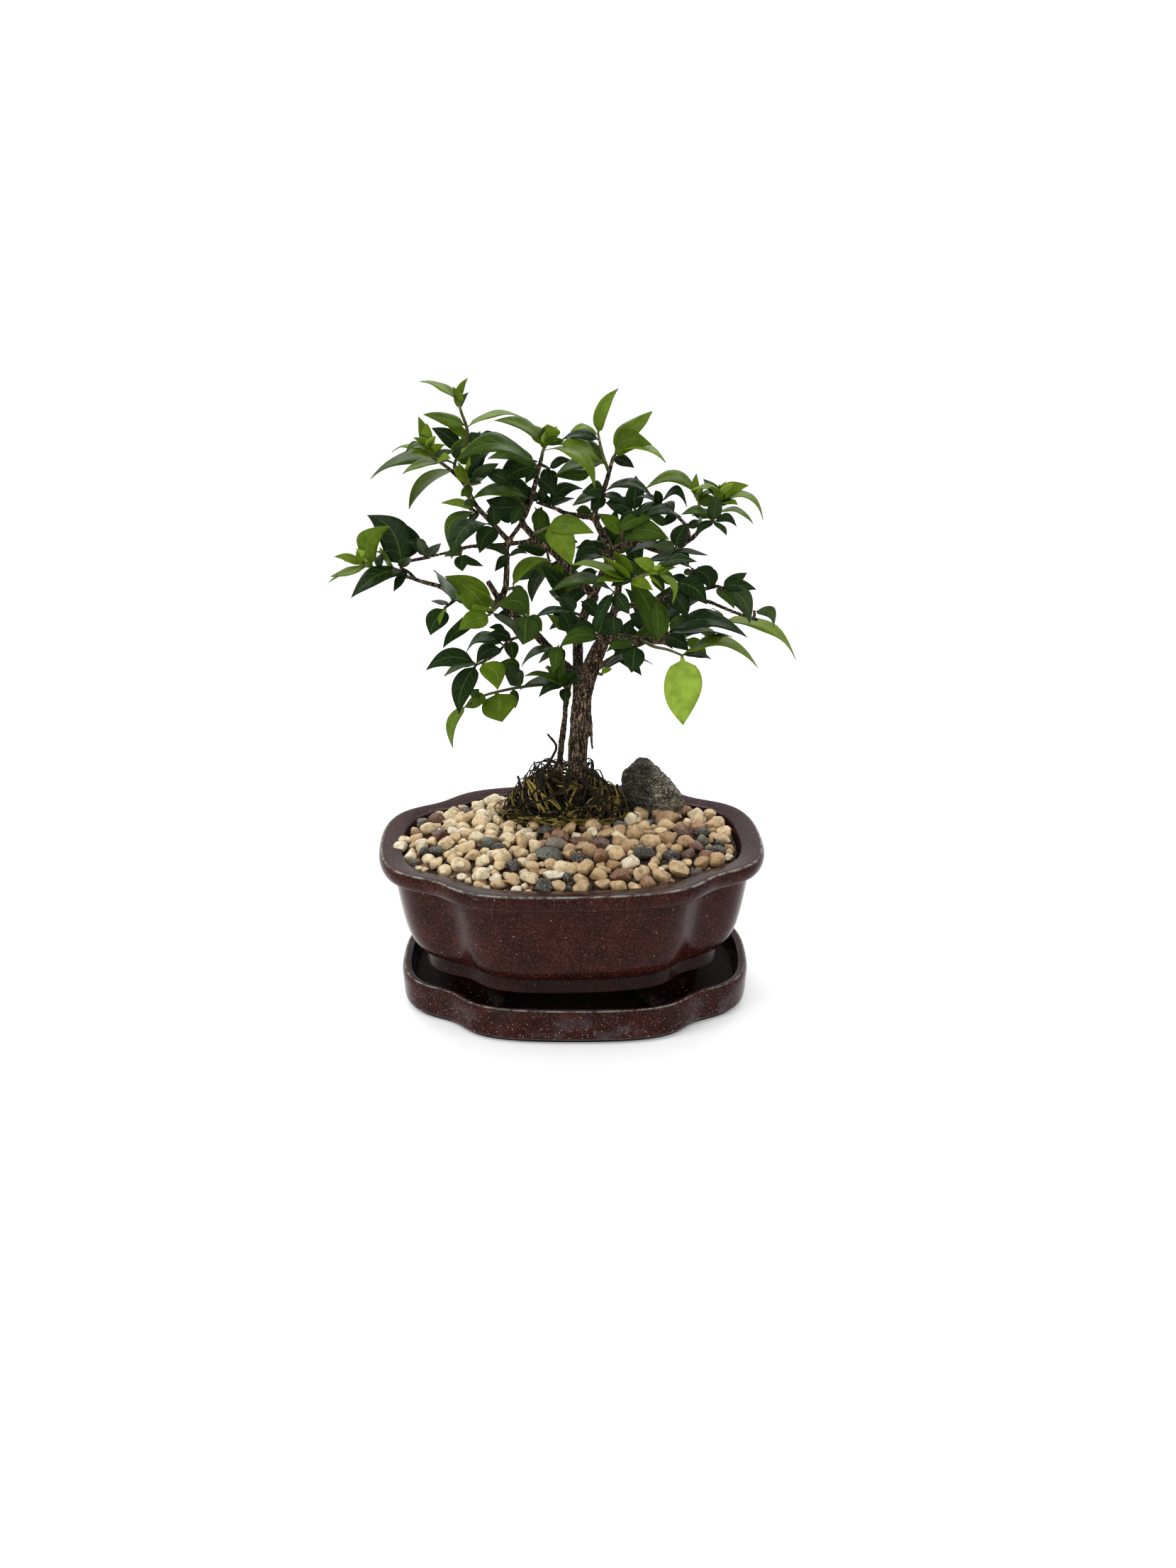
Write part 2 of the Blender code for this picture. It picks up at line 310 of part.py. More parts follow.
    ("stem_right", "dark", ((10.2, 133.5, 0), (12, 132.4, -4), (13, 132.4, -5)), (
        (0.7, 34, 136.6, 2, 2.4, 4), (1.0, 17, 134.8, -3, 2.4, 0.5))),
    ("rear_right", "dark", ((28, 145, 15), (30, 148, 17.5), (33, 152, 19.5)), (
        (0.4, 14, 146, 2, 8, 2), (0.5, 42, 143, 2, 6, 3), (1.0, 24, 158, 6, 8, 1),
        (1.0, 45, 158, 4, 7, 2), (1.0, 33, 164, 10, 8, 0),
        (1.0, 41, 170, 4, 8, 1), (0.9, 22, 169, 0, 7, 1), (0.9, 53, 164, 2, 7, 2))),
    ("rear_middle", "dark", ((-8, 176, 25), (-9, 181, 27), (-10, 187, 28)), (
        (0.2, -22, 172, 4, 8, 2), (0.3, 4, 170, 6, 8, 2), (0.7, -22, 186, -2, 8, 2),
        (0.8, 3, 188, 4, 8, 2), (1.0, -13, 202, 4, 8, 0),
        (0.1, -2, 161, 2, 7, 1), (0.4, -16, 163, 4, 6, 1))),
    ("rear_high", "dark", ((22, 190, 20), (24, 195, 22.5), (26, 201, 24)), (
        (0.3, 10, 186, 3, 8, 2), (0.3, 36, 183, 4, 8, 2), (0.8, 14, 204, 4, 8, 2),
        (0.8, 40, 200, 0, 7, 2), (1.0, 26, 215, 3, 8, 0),
        (0.1, 28, 175, 3, 8, 1), (0.2, 15, 177, -2, 6, 1))),
)

COLOURS = {
    "pot": (0.075, 0.022, 0.024, 0.18), "tray": (0.07, 0.02, 0.022, 0.2),
    "soil": (0.03, 0.02, 0.013, 0.95), "gravel": (0.42, 0.31, 0.18, 0.7),
    "rock": (0.16, 0.15, 0.13, 0.85), "moss": (0.05, 0.04, 0.015, 0.95),
    "bark": (0.10, 0.065, 0.042, 0.85), "dark": (0.02, 0.05, 0.015, 0.35),
    "mid": (0.06, 0.13, 0.015, 0.35), "young": (0.20, 0.33, 0.04, 0.4),
}


def clear_scene():
    for old in list(bpy.data.objects):
        bpy.data.objects.remove(old, do_unlink=True)


def new_collection(name):
    collection = bpy.data.collections.new(name)
    bpy.context.scene.collection.children.link(collection)
    return collection


def make_material(name):
    red, green, blue, roughness = COLOURS[name]
    material = bpy.data.materials.new(name)
    material.use_nodes = True
    shader = material.node_tree.nodes["Principled BSDF"]
    shader.inputs["Base Color"].default_value = (red, green, blue, 1.0)
    shader.inputs["Roughness"].default_value = roughness
    shader.inputs["Metallic"].default_value = 0.0
    return material


def add_object(name, mesh, collection, material=None):
    obj = bpy.data.objects.new(name, mesh)
    collection.objects.link(obj)
    if material:
        mesh.materials.clear()
        mesh.materials.append(material)
    return obj


def evaluated_mesh(obj):
    """The object's mesh with its modifiers applied, in world space."""
    depsgraph = bpy.context.evaluated_depsgraph_get()
    mesh = bpy.data.meshes.new_from_object(obj.evaluated_get(depsgraph))
    mesh.transform(obj.matrix_world)
    return mesh


def mesh_from_bmesh(name, bm):
    mesh = bpy.data.meshes.new(name)
    bm.to_mesh(mesh)
    bm.free()
    return mesh


# Lobed outline of the pot and the tray

def outline(half_length, half_width, notch, turn=0.0):
    """Points of a rounded oblong with a notch towards each of its corners, in mm."""
    points = []
    for step in range(OUTLINE_POINTS):
        angle = 2 * math.pi * step / OUTLINE_POINTS
        cosine, sine = math.cos(angle), math.sin(angle)
        pull = 1 - notch * math.exp(-(corner_distance(angle) / NOTCH_SPREAD) ** 2)
        x = math.copysign(abs(cosine) ** (2 / CORNER), cosine) * half_length * pull
        y = math.copysign(abs(sine) ** (2 / CORNER), sine) * half_width * pull
        points.append((x * math.cos(turn) - y * math.sin(turn),
                       x * math.sin(turn) + y * math.cos(turn)))
    return points


def corner_distance(angle):
    folded = angle % math.pi
    folded = min(folded, math.pi - folded)
    return abs(folded - NOTCH_ANGLE)


def foot_height(step):
    """Height of the pot's lower edge: down at the four corner feet, arched between."""
    away = corner_distance(2 * math.pi * step / OUTLINE_POINTS)
    share = min(1.0, max(0.0, (FOOT_REACH - away) / 0.16))
    share = share * share * (3 - 2 * share)
    return ARCH_TOP + (FOOT_BOTTOM - ARCH_TOP) * share


def loft(name, rings):
    """Closed solid through rings of points in mm, with a flat cap at each end."""
    bm = bmesh.new()
    loops = [[bm.verts.new(Vector(point) * MM) for point in ring] for ring in rings]
    count = len(loops[0])
    for low, high in zip(loops, loops[1:]):
        for step in range(count):
            after = (step + 1) % count
            bm.faces.new((low[step], low[after], high[after], high[step]))
    bm.faces.new(list(reversed(loops[0])))
    bm.faces.new(loops[-1])
    bmesh.ops.recalc_face_normals(bm, faces=bm.faces)
    return mesh_from_bmesh(name, bm)


def row_ring(row, turn, shift):
    half_length, half_width, notch, height = row
    flat = outline(half_length, half_width, notch, turn)
    return [(x + shift, y, foot_height(step) if height is None else height)
            for step, (x, y) in enumerate(flat)]


def cylinder_cutter(name, x, y, low, high, radius, cutters):
    bpy.ops.mesh.primitive_cylinder_add(
        vertices=16, radius=radius * MM, depth=(high - low) * MM,
        location=(x * MM, y * MM, (low + high) / 2 * MM))
    cutter = bpy.context.active_object
    cutter.name = name
    for owner in list(cutter.users_collection):
        owner.objects.unlink(cutter)
    cutters.objects.link(cutter)
    cutter.hide_render = True
    cutter.display_type = "WIRE"
    return cutter


def cut(obj, cutter):
    modifier = obj.modifiers.new("cut " + cutter.name, "BOOLEAN")
    modifier.operation = "DIFFERENCE"
    modifier.object = cutter
    modifier.solver = "EXACT"


def make_tray(parts):
    mesh = loft("tray", [row_ring(row, 0.0, TRAY_X) for row in TRAY_ROWS])
    return add_object("tray", mesh, parts, make_material("tray"))


def make_pot(parts, cutters):
    mesh = loft("pot", [row_ring(row, POT_TURN, 0.0) for row in POT_ROWS])
    pot = add_object("pot", mesh, parts, make_material("pot"))
    for number, (x, y) in enumerate(DRAIN_SPOTS):
        cut(pot, cylinder_cutter(f"drain_{number}", x, y, 15.0, 30.0, DRAIN_RADIUS, cutters))
    return pot


# Soil, gravel, stone and moss

def make_soil(parts, cutters):
    rings = []
    for half_length, half_width, notch, height in SOIL_ROWS:
        lift = GAP if height == POT_FLOOR else 0.0
        flat = outline(half_length - 1.5 * GAP, half_width - 1.5 * GAP, notch, POT_TURN)
        rings.append([(x, y, height + lift) for x, y in flat])
    soil = add_object("soil", loft("soil", rings), parts, make_material("soil"))
    cut(soil, cylinder_cutter("soil_hole", TRUNK_X, TRUNK_PLANE, TRUNK_FOOT - GAP, 60.0,
                              TRUNK_RADIUS + 2 * GAP, cutters))
    return soil


def footprint(middle, size, margin, count):
    """Ring of points round something that stands on the gravel, in mm."""
    angles = [2 * math.pi * step / count for step in range(count)]
    return [(middle[0] + (size[0] + margin) * math.cos(angle),
             middle[1] + (size[1] + margin) * math.sin(angle)) for angle in angles]


def bed_height(x, y):
    """Level of the gravel between its pebbles: it falls away towards the rim."""
    side_x = abs(x) / BED_SIZE[0]
    side_y = abs(y) / BED_SIZE[1]
    out = min(1.0, (side_x ** CORNER + side_y ** CORNER) ** (1 / CORNER))
    return BED_EDGE + (BED_TOP - BED_EDGE) * (1 - out ** 3)


def inside_ring(point, ring, margin):
    """True where a point lies inside a ring and at least a margin away from it."""
    crossings = 0
    for start, end in zip(ring, ring[1:] + ring[:1]):
        if (start[1] > point[1]) != (end[1] > point[1]):
            share = (point[1] - start[1]) / (end[1] - start[1])
            crossings += point[0] < start[0] + share * (end[0] - start[0])
    near = min(math.dist(point, corner) for corner in ring)
    return crossings % 2 == 1 and near > margin


def pebble_middles(edge, rng):
    """Middles of the pebbles on an uneven lattice, clear of moss and stone, in mm."""
    moss = footprint(MOSS_MIDDLE, MOSS_SIZE, FOOT_CLEAR, 40)
    rock = footprint(ROCK_MIDDLE, ROCK_SIZE, FOOT_CLEAR, 24)
    row_step = PEBBLE_STEP * math.sqrt(3) / 2
    middles = []
    for row in range(int(2 * BED_SIZE[1] / row_step) + 2):
        for column in range(int(2 * BED_SIZE[0] / PEBBLE_STEP) + 2):
            x = (column + 0.5 * (row % 2)) * PEBBLE_STEP - BED_SIZE[0]
            x += rng.uniform(-PEBBLE_JITTER, PEBBLE_JITTER)
            y = row * row_step - BED_SIZE[1] + rng.uniform(-PEBBLE_JITTER, PEBBLE_JITTER)
            covered = inside_ring((x, y), moss, 0.0) or inside_ring((x, y), rock, 0.0)
            if inside_ring((x, y), edge, RIM_CLEAR) and not covered:
                middles.append((x, y))
    return middles


def gravel_bed():
    """Bed of pebbles: a net of triangles between their middles, from which each is raised."""
    rng = random.Random(SEED + 3)
    edge = outline(*BED_SIZE, POT_TURN)
    moss = footprint(MOSS_MIDDLE, MOSS_SIZE, MOSS_SEAM, 20)
    rock = footprint(ROCK_MIDDLE, ROCK_SIZE, ROCK_SEAM, 12)
    middles = pebble_middles(edge, rng)
    flat = [Vector(point) for point in edge + moss + rock + middles]
    constraints = []
    first = 0
    for ring in (edge, moss, rock):
        constraints += [(first + step, first + (step + 1) % len(ring)) for step in range(len(ring))]
        first += len(ring)
    spots, _, triangles, sources, _, _ = delaunay_2d_cdt(
        flat, constraints, [tuple(range(len(edge)))], 1, 0.001)
    bm = bmesh.new()
    pebbles = []
    for place, source in zip(spots, sources):
        number = min(source)
        height = BED_EDGE if number < len(edge) else BED_TOP
        if number >= first:
            height = bed_height(place.x, place.y)
        vert = bm.verts.new(Vector((place.x, place.y, height)) * MM)
        if number >= first:
            pebbles.append(vert)
    bm.verts.ensure_lookup_table()
    for triangle in triangles:
        bm.faces.new([bm.verts[corner] for corner in triangle])
    for edge_between in [item for item in bm.edges if set(item.verts) & set(pebbles)]:
        bmesh.utils.edge_split(edge_between, edge_between.verts[0], 0.5)
    for pebble in pebbles:
        raise_pebble(bm, pebble, rng)
    close_below(bm, SOIL_TOP + GAP)
    bmesh.ops.triangulate(bm, faces=bm.faces)
    print(f"{len(pebbles)} pebbles")
    return mesh_from_bmesh("gravel", bm)


def raise_pebble(bm, pebble, rng):
    """Raises the cell round a pebble's middle, halfway to its neighbours, to a low dome."""
    for face in pebble.link_faces[:]:
        corner = next(loop for loop in face.loops if loop.vert == pebble)
        bmesh.utils.face_split(face, corner.link_loop_next.vert, corner.link_loop_prev.vert)
    cell = bmesh.ops.dissolve_faces(bm, faces=pebble.link_faces[:])["region"]
    rise = PEBBLE_RISE * rng.uniform(0.75, 1.2)
    bmesh.ops.inset_individual(bm, faces=cell, thickness=PEBBLE_SLOPE * MM, depth=rise * MM)


def close_below(bm, height):
    """Draws the open edge of a sheet straight down to a level in mm and fills it there."""
    rim = [item for item in bm.edges if item.is_boundary]
    drawn = bmesh.ops.extrude_edge_only(bm, edges=rim)["geom"]
    lower = [item for item in drawn if isinstance(item, bmesh.types.BMVert)]
    for vert in lower:
        vert.co = (vert.co.x * BED_TAPER, vert.co.y * BED_TAPER, height * MM)
    bmesh.ops.holes_fill(bm, edges=[item for item in bm.edges if item.is_boundary], sides=0)
    bmesh.ops.recalc_face_normals(bm, faces=bm.faces)


def make_gravel(parts, cutters):
    gravel = add_object("gravel", gravel_bed(), parts, make_material("gravel"))
    cut(gravel, cylinder_cutter("gravel_hole", TRUNK_X, TRUNK_PLANE, 50.0, 80.0,
                                TRUNK_RADIUS + 2 * GAP, cutters))
    return gravel


def lump(name, middle, size, roughness, rng):
    """An uneven rounded solid about a middle, all in mm."""
    bm = bmesh.new()
    bmesh.ops.create_icosphere(bm, subdivisions=2, radius=1.0)
    for vert in bm.verts:
        vert.co *= 1 + rng.uniform(-roughness, roughness)
    bmesh.ops.scale(bm, verts=bm.verts, vec=size)
    bmesh.ops.translate(bm, verts=bm.verts, vec=middle)
    bmesh.ops.scale(bm, verts=bm.verts, vec=(MM, MM, MM))
    return mesh_from_bmesh(name, bm)


def flat_bottom(mesh, height):
    """Cuts a mesh off level at a height in mm and closes it there."""
    bm = bmesh.new()
    bm.from_mesh(mesh)
    whole = bm.verts[:] + bm.edges[:] + bm.faces[:]
    result = bmesh.ops.bisect_plane(bm, geom=whole, plane_co=(0, 0, height * MM),
                                    plane_no=(0, 0, -1), clear_outer=True, dist=0.00001)
    rim = [item for item in result["geom_cut"] if isinstance(item, bmesh.types.BMEdge)]
    bmesh.ops.contextual_create(bm, geom=rim)
    bmesh.ops.recalc_face_normals(bm, faces=bm.faces)
    bm.to_mesh(mesh)
    bm.free()


def make_rock(parts):
    rng = random.Random(SEED + 1)
    base = BED_TOP + GAP
    mesh = lump("rock", (*ROCK_MIDDLE, base), ROCK_SIZE, 0.06, rng)
    for vert in mesh.vertices:
        rise = max(0.0, (vert.co.z / MM - base) / ROCK_SIZE[2])
        across = (vert.co.x / MM - ROCK_MIDDLE[0]) * (1 - ROCK_TAPER * rise)
        vert.co.x = (ROCK_MIDDLE[0] + across + ROCK_LEAN * rise) * MM
    flat_bottom(mesh, base)
    return add_object("rock", mesh, parts, make_material("rock"))


def moss_height(x, y):
    """Height of the mound's smooth surface above a spot, in mm."""
    out = math.hypot((x - MOSS_MIDDLE[0]) / MOSS_SIZE[0], (y - MOSS_MIDDLE[1]) / MOSS_SIZE[1])
    return BED_TOP + GAP + MOSS_SIZE[2] * max(0.0, 1 - out ** MOSS_SLOPE)


def moss_strand(number, rng, pieces, obstacles):
    """One loose strand that arches over the mound between two spots on it."""
    for _ in range(40):
        turn = rng.uniform(0, 2 * math.pi)
        out = rng.uniform(*STRAND_PLACE)
        start = Vector((MOSS_MIDDLE[0] + MOSS_SIZE[0] * out * math.cos(turn),
                        MOSS_MIDDLE[1] + MOSS_SIZE[1] * out * math.sin(turn)))
        heading = turn + rng.uniform(1.2, 2.4) * rng.choice((-1, 1))
        length = rng.uniform(*STRAND_LENGTH)
        points = []
        for share in (0.0, 0.33, 0.67, 1.0):
            heading += rng.uniform(-0.4, 0.4)
            flat = start + Vector((math.cos(heading), math.sin(heading))) * length * share
            lift = STRAND_RISE * math.sin(share * math.pi) - STRAND_SUNK
            points.append(Vector((flat.x, flat.y, moss_height(flat.x, flat.y) + lift)))
        inside = all(moss_height(place.x, place.y) > BED_TOP + STRAND_LOWEST for place in points)
        room = tube_skin(points, [STRAND_RADIUS + 2 * GAP] * len(points))
        if inside and not obstacles.hit(*room, "moss"):
            name = f"strand_{number}"
            add_object(name, tube(name, points, [STRAND_RADIUS] * len(points), 4), pieces)
            return


def make_moss(parts, cutters, obstacles):
    rng = random.Random(SEED + 2)
    base = BED_TOP + GAP
    mesh = lump("moss", (*MOSS_MIDDLE, base), MOSS_SIZE, 0.03, rng)
    for vert in mesh.vertices:
        if vert.co.z / MM > base:
            vert.co.z = (moss_height(vert.co.x / MM, vert.co.y / MM) + rng.uniform(0.0, 1.2)) * MM
    flat_bottom(mesh, base)
    moss = add_object("moss", mesh, parts, make_material("moss"))
    pieces = new_collection("moss strands")
    for number in range(STRANDS):
        moss_strand(number, rng, pieces, obstacles)
    fuse(moss, pieces)
    cut(moss, cylinder_cutter("moss_hole", TRUNK_X, TRUNK_PLANE, 60.0, 100.0,
                              TRUNK_RADIUS + 2 * GAP, cutters))
    cut(moss, cylinder_cutter("side_hole", SIDE_STEM_X, TRUNK_PLANE, SIDE_STEM_FOOT - GAP, 100.0,
                              SIDE_STEM_RADIUS + 2 * GAP, cutters))
    obstacles.add_object(moss, "moss")
    return moss


# Stems, twigs and leaves

def spot(x, z, depth=0.0):
    """A spot of the drawing as a point in mm."""
    on_plane = Vector((x, TRUNK_PLANE, z))
    return on_plane + (on_plane - EYE).normalized() * depth * DEPTH_UNIT


def smooth_route(points, spans):
    """Points of a smooth curve through the route's own points."""
    if len(points) < 3:
        return [Vector(point) for point in points]
    padded = [2 * points[0] - points[1], *points, 2 * points[-1] - points[-2]]
    result = []
    for number in range(1, len(padded) - 2):
        before, start, end, after = padded[number - 1:number + 3]
        for step in range(spans):
            t = step / spans
            result.append(0.5 * (2 * start + (end - before) * t
                                 + (2 * before - 5 * start + 4 * end - after) * t * t
                                 + (3 * start - before - 3 * end + after) * t ** 3))
    result.append(Vector(points[-1]))
    return result


def tube(name, points, radii, sides):
    """Round bar along points in mm, made from a bevelled curve."""
    curve = bpy.data.curves.new(name, "CURVE")
    curve.dimensions = "3D"
    curve.bevel_depth = 1.0
    curve.bevel_resolution = (sides - 4) // 2
    curve.use_fill_caps = True
    spline = curve.splines.new("POLY")
    spline.points.add(len(points) - 1)
    for point, place, radius in zip(spline.points, points, radii):
        point.co = (*(place * MM), 1.0)
        point.radius = radius * MM
    holder = bpy.data.objects.new(name, curve)
    bpy.context.scene.collection.objects.link(holder)
    mesh = evaluated_mesh(holder)
    bpy.data.objects.remove(holder, do_unlink=True)
    bpy.data.curves.remove(curve)
    bm = bmesh.new()
    bm.from_mesh(mesh)
    bmesh.ops.remove_doubles(bm, verts=bm.verts, dist=0.000005)
    bmesh.ops.recalc_face_normals(bm, faces=bm.faces)
    bm.to_mesh(mesh)
    bm.free()
    return mesh


def tube_skin(points, radii):
    """Rough skin of a tube in metres, used only to test for room."""
    sides = 6
    verts, faces = [], []
    for number, (place, radius) in enumerate(zip(points, radii)):
        ahead = points[min(number + 1, len(points) - 1)] - points[max(number - 1, 0)]
        across = ahead.orthogonal().normalized()
        other = ahead.cross(across).normalized()
        for side in range(sides):
            angle = 2 * math.pi * side / sides
            verts.append((place + (across * math.cos(angle) + other * math.sin(angle)) * radius) * MM)
    for number in range(len(points) - 1):
        for side in range(sides):
            after = (side + 1) % sides
            low, high = number * sides, (number + 1) * sides
            faces.append((low + side, low + after, high + after, high + side))
    faces.append(tuple(range(sides)))
    faces.append(tuple(range(len(verts) - sides, len(verts))))
    return verts, faces


class Obstacles:
    """What has been placed so far, to keep the next piece clear of it."""

    def __init__(self):
        self.items = []

    def add(self, verts, faces, owner):
        low = Vector([min(v[axis] for v in verts) for axis in range(3)])
        high = Vector([max(v[axis] for v in verts) for axis in range(3)])
        self.items.append((low, high, BVHTree.FromPolygons(verts, faces), owner))

    def add_object(self, obj, owner):
        mesh = evaluated_mesh(obj)
        self.add([v.co.copy() for v in mesh.vertices], [tuple(p.vertices) for p in mesh.polygons],
                 owner)
        bpy.data.meshes.remove(mesh)

    def hit(self, verts, faces, owner):
        low = Vector([min(v[axis] for v in verts) for axis in range(3)])
        high = Vector([max(v[axis] for v in verts) for axis in range(3)])
        tree = None
        for other_low, other_high, other_tree, other_owner in self.items:
            if other_owner == owner or any(low[axis] > other_high[axis] or high[axis] < other_low[axis]
                                           for axis in range(3)):
                continue
            tree = tree or BVHTree.FromPolygons(verts, faces)
            if tree.overlap(other_tree):
                return True
        return False


def fuse(base, pieces):
    """Joins a collection's objects to the base as one body, then removes them."""
    if pieces.objects:
        join = base.modifiers.new("join", "BOOLEAN")
        join.operation = "UNION"
        join.operand_type = "COLLECTION"
        join.collection = pieces
        join.solver = "EXACT"
        mesh = evaluated_mesh(base)
        base.modifiers.remove(join)
        materials = list(base.data.materials)
        base.data = mesh
        mesh.materials.clear()
        for material in materials:
            mesh.materials.append(material)
        for polygon in mesh.polygons:
            polygon.material_index = 0
    for piece in list(pieces.objects):
        bpy.data.objects.remove(piece, do_unlink=True)
    bpy.data.collections.remove(pieces)


def limb_sides(radius):
    if radius > 3:
        return 8
    return 6 if radius > 1.6 else 4


def make_trunk(parts, obstacles):
    pieces = new_collection("limbs")
    trunk = None
    for number, (name, spots, start_radius, end_radius) in enumerate(LIMBS):
        points = smooth_route([spot(*place) for place in spots], 2 if number < 2 else 1)
        last = len(points) - 1
        taper = TRUNK_TAPER if number == 0 else 1
        radii = [start_radius + (end_radius - start_radius) * (step / last) ** taper
                 for step in range(last + 1)]
        mesh = tube(name, points, radii, limb_sides(start_radius))
        if number == 0:
            trunk = add_object("trunk", mesh, parts, make_material("bark"))
        else:
            add_object(name, mesh, pieces)
    fuse(trunk, pieces)
    obstacles.add_object(trunk, "trunk")
    return trunk


def along_route(points, share):
    """Point at a share of a route's length."""
    lengths = [(after - before).length for before, after in zip(points, points[1:])]
    left = share * sum(lengths)
    for before, after, length in zip(points, points[1:], lengths):
        if left <= length:
            return before.lerp(after, left / length)
        left -= length
    return points[-1].copy()


def trimmed(points, cut_length):
    """The route without its first stretch."""
    left = cut_length
    for number, (before, after) in enumerate(zip(points, points[1:])):
        length = (after - before).length
        if left < length - 0.2:
            return [before.lerp(after, left / length), *points[number + 1:]]
        left = max(0.0, left - length)
    return points[-2:]


def place_twig(name, spots, obstacles):
    """The twig's route, started just clear of the limb it grows from."""
    points = [spot(*place) for place in spots]
    for step in range(1, TWIG_STEPS):
        route = trimmed(points, TWIG_STEP * step)
        radii = twig_radii(route, GAP + 0.1)
        start = route[0] - (route[1] - route[0]).normalized() * (GAP + 0.05)
        if not obstacles.hit(*tube_skin([start, *route[1:]], radii), name):
            break
    else:
        print("twig has no room:", name)
    obstacles.add(*tube_skin(route, twig_radii(route)), name)
    return route


def twig_radii(route, extra=0.0):
    last = len(route) - 1
    return [TWIG_RADIUS[0] + (TWIG_RADIUS[1] - TWIG_RADIUS[0]) * step / last + extra
            for step in range(last + 1)]


def leaf_frame(base, tip, seen_width, arch):
    """Directions of a leaf: across it, its upper side and its arch, with its real width."""
    sight = (base - EYE).normalized()
    chord = tip - base
    ahead = chord.normalized()
    level = sight.cross(ahead).normalized()
    rise = level if level.z > 0.1 or (abs(level.z) <= 0.1 and level.x < 0) else -level
    inward = ahead.cross(level).normalized()
    width = max(seen_width, min(BLADE_RATIO * chord.length, MAX_WIDTH))
    turn = math.acos(min(1.0, seen_width / width))
    choices = [level * math.cos(turn) + inward * math.sin(turn) * side for side in (1, -1)]
    across = max(choices, key=lambda vector: abs(ahead.cross(vector).z))
    upper = ahead.cross(across).normalized()
    if upper.z < 0:
        upper = -upper
    return across, upper, rise * arch, width


def leaf_rows(base, tip, seen_width, arch):
    """Rows of points across a leaf's middle surface, in mm: two, or three on a broad leaf."""
    across, upper, bulge, width = leaf_frame(base, tip, seen_width, arch)
    rows = SLIGHT_ROWS if seen_width < SLIGHT_LEAF else SHORT_ROWS
    if (tip - base).length > LONG_LEAF:
        rows = LONG_ROWS
    grid = []
    for share, wide in rows:
        centre = base.lerp(tip, share) + bulge * 4 * share * (1 - share)
        half = width / 2 * wide
        if seen_width < BROAD_LEAF:
            grid.append((centre - across * half, centre + across * half))
        else:
            lift = upper * half * FOLD
            grid.append((centre - across * half + lift, centre, centre + across * half + lift))
    return grid, across, upper


def leaf_room(base, tip, seen_width, arch):
    """Thick skin round a leaf in metres, used only to test for room."""
    grid, across, upper = leaf_rows(base, tip, seen_width, arch)
    side = across * GAP * 2
    grid = [(row[0] - side, row[-1] + side) for row in grid]
    start = base.lerp(tip, 0.03)
    end = tip + (tip - base).normalized() * GAP * 2
    grid[0] = (start - side, start + side)
    grid[-1] = (end - side, end + side)
    lift = upper * (BLADE + GAP)
    fold = upper * (FOLD * seen_width / 2 if seen_width >= BROAD_LEAF else 0.0)
    verts = [(point + lift) * MM for row in grid for point in row]
    verts += [(point - lift - fold) * MM for row in grid for point in row]
    count = len(grid) * 2
    faces = [(0, 1, count + 1, count), (count - 2, count - 1, 2 * count - 1, 2 * count - 2)]
    for row in range(len(grid) - 1):
        left, right = row * 2, row * 2 + 1
        faces.append((left, right, right + 2, left + 2))
        faces.append((left + count, left + count + 2, right + count + 2, right + count))
        faces.append((left, left + 2, left + count + 2, left + count))
        faces.append((right, right + count, right + count + 2, right + 2))
    return verts, faces


def leaf_sheet(grid):
    """Plain skin of a placed leaf in metres, which later leaves are kept clear of."""
    columns = len(grid[0])
    verts = [point * MM for row in grid for point in row]
    faces = []
    for row in range(len(grid) - 1):
        for column in range(columns - 1):
            first = row * columns + column
            faces.append((first, first + 1, first + 1 + columns, first + columns))
    return verts, faces


def settle_leaf(owner, base, tip, seen_width, arch, obstacles):
    """Swings the leaf's tip nearer or further until the leaf is clear of other twigs."""
    sight = (tip - EYE).normalized()
    for narrow in (1.0, NARROWED):
        for step in range(LEAF_STEPS):
            swing = (step + 1) // 2 * LEAF_SWING * (1 if step % 2 else -1)
            moved = tip + sight * swing
            if not obstacles.hit(*leaf_room(base, moved, seen_width * narrow, arch), owner):
                return moved, seen_width * narrow
    return None


def make_blade(name, grid, pieces):
    """A leaf: a flat grid laid on the leaf's rows, with its ends drawn to a point."""
    rows, columns = len(grid), len(grid[0])
    bm = bmesh.new()
    bmesh.ops.create_grid(bm, x_segments=columns - 1, y_segments=rows - 1, size=1.0)
    for vert in bm.verts:
        column = round((vert.co.x + 1) / 2 * (columns - 1))
        row = round((vert.co.y + 1) / 2 * (rows - 1))
        vert.co = grid[row][column] * MM
    bmesh.ops.remove_doubles(bm, verts=bm.verts, dist=0.00002)
    bmesh.ops.triangulate(bm, faces=bm.faces)
    leaf = add_object(name, mesh_from_bmesh(name, bm), pieces)
    solid = leaf.modifiers.new("blade", "SOLIDIFY")
    solid.thickness = BLADE * MM
    solid.offset = 0.0
    solid.use_even_offset = False


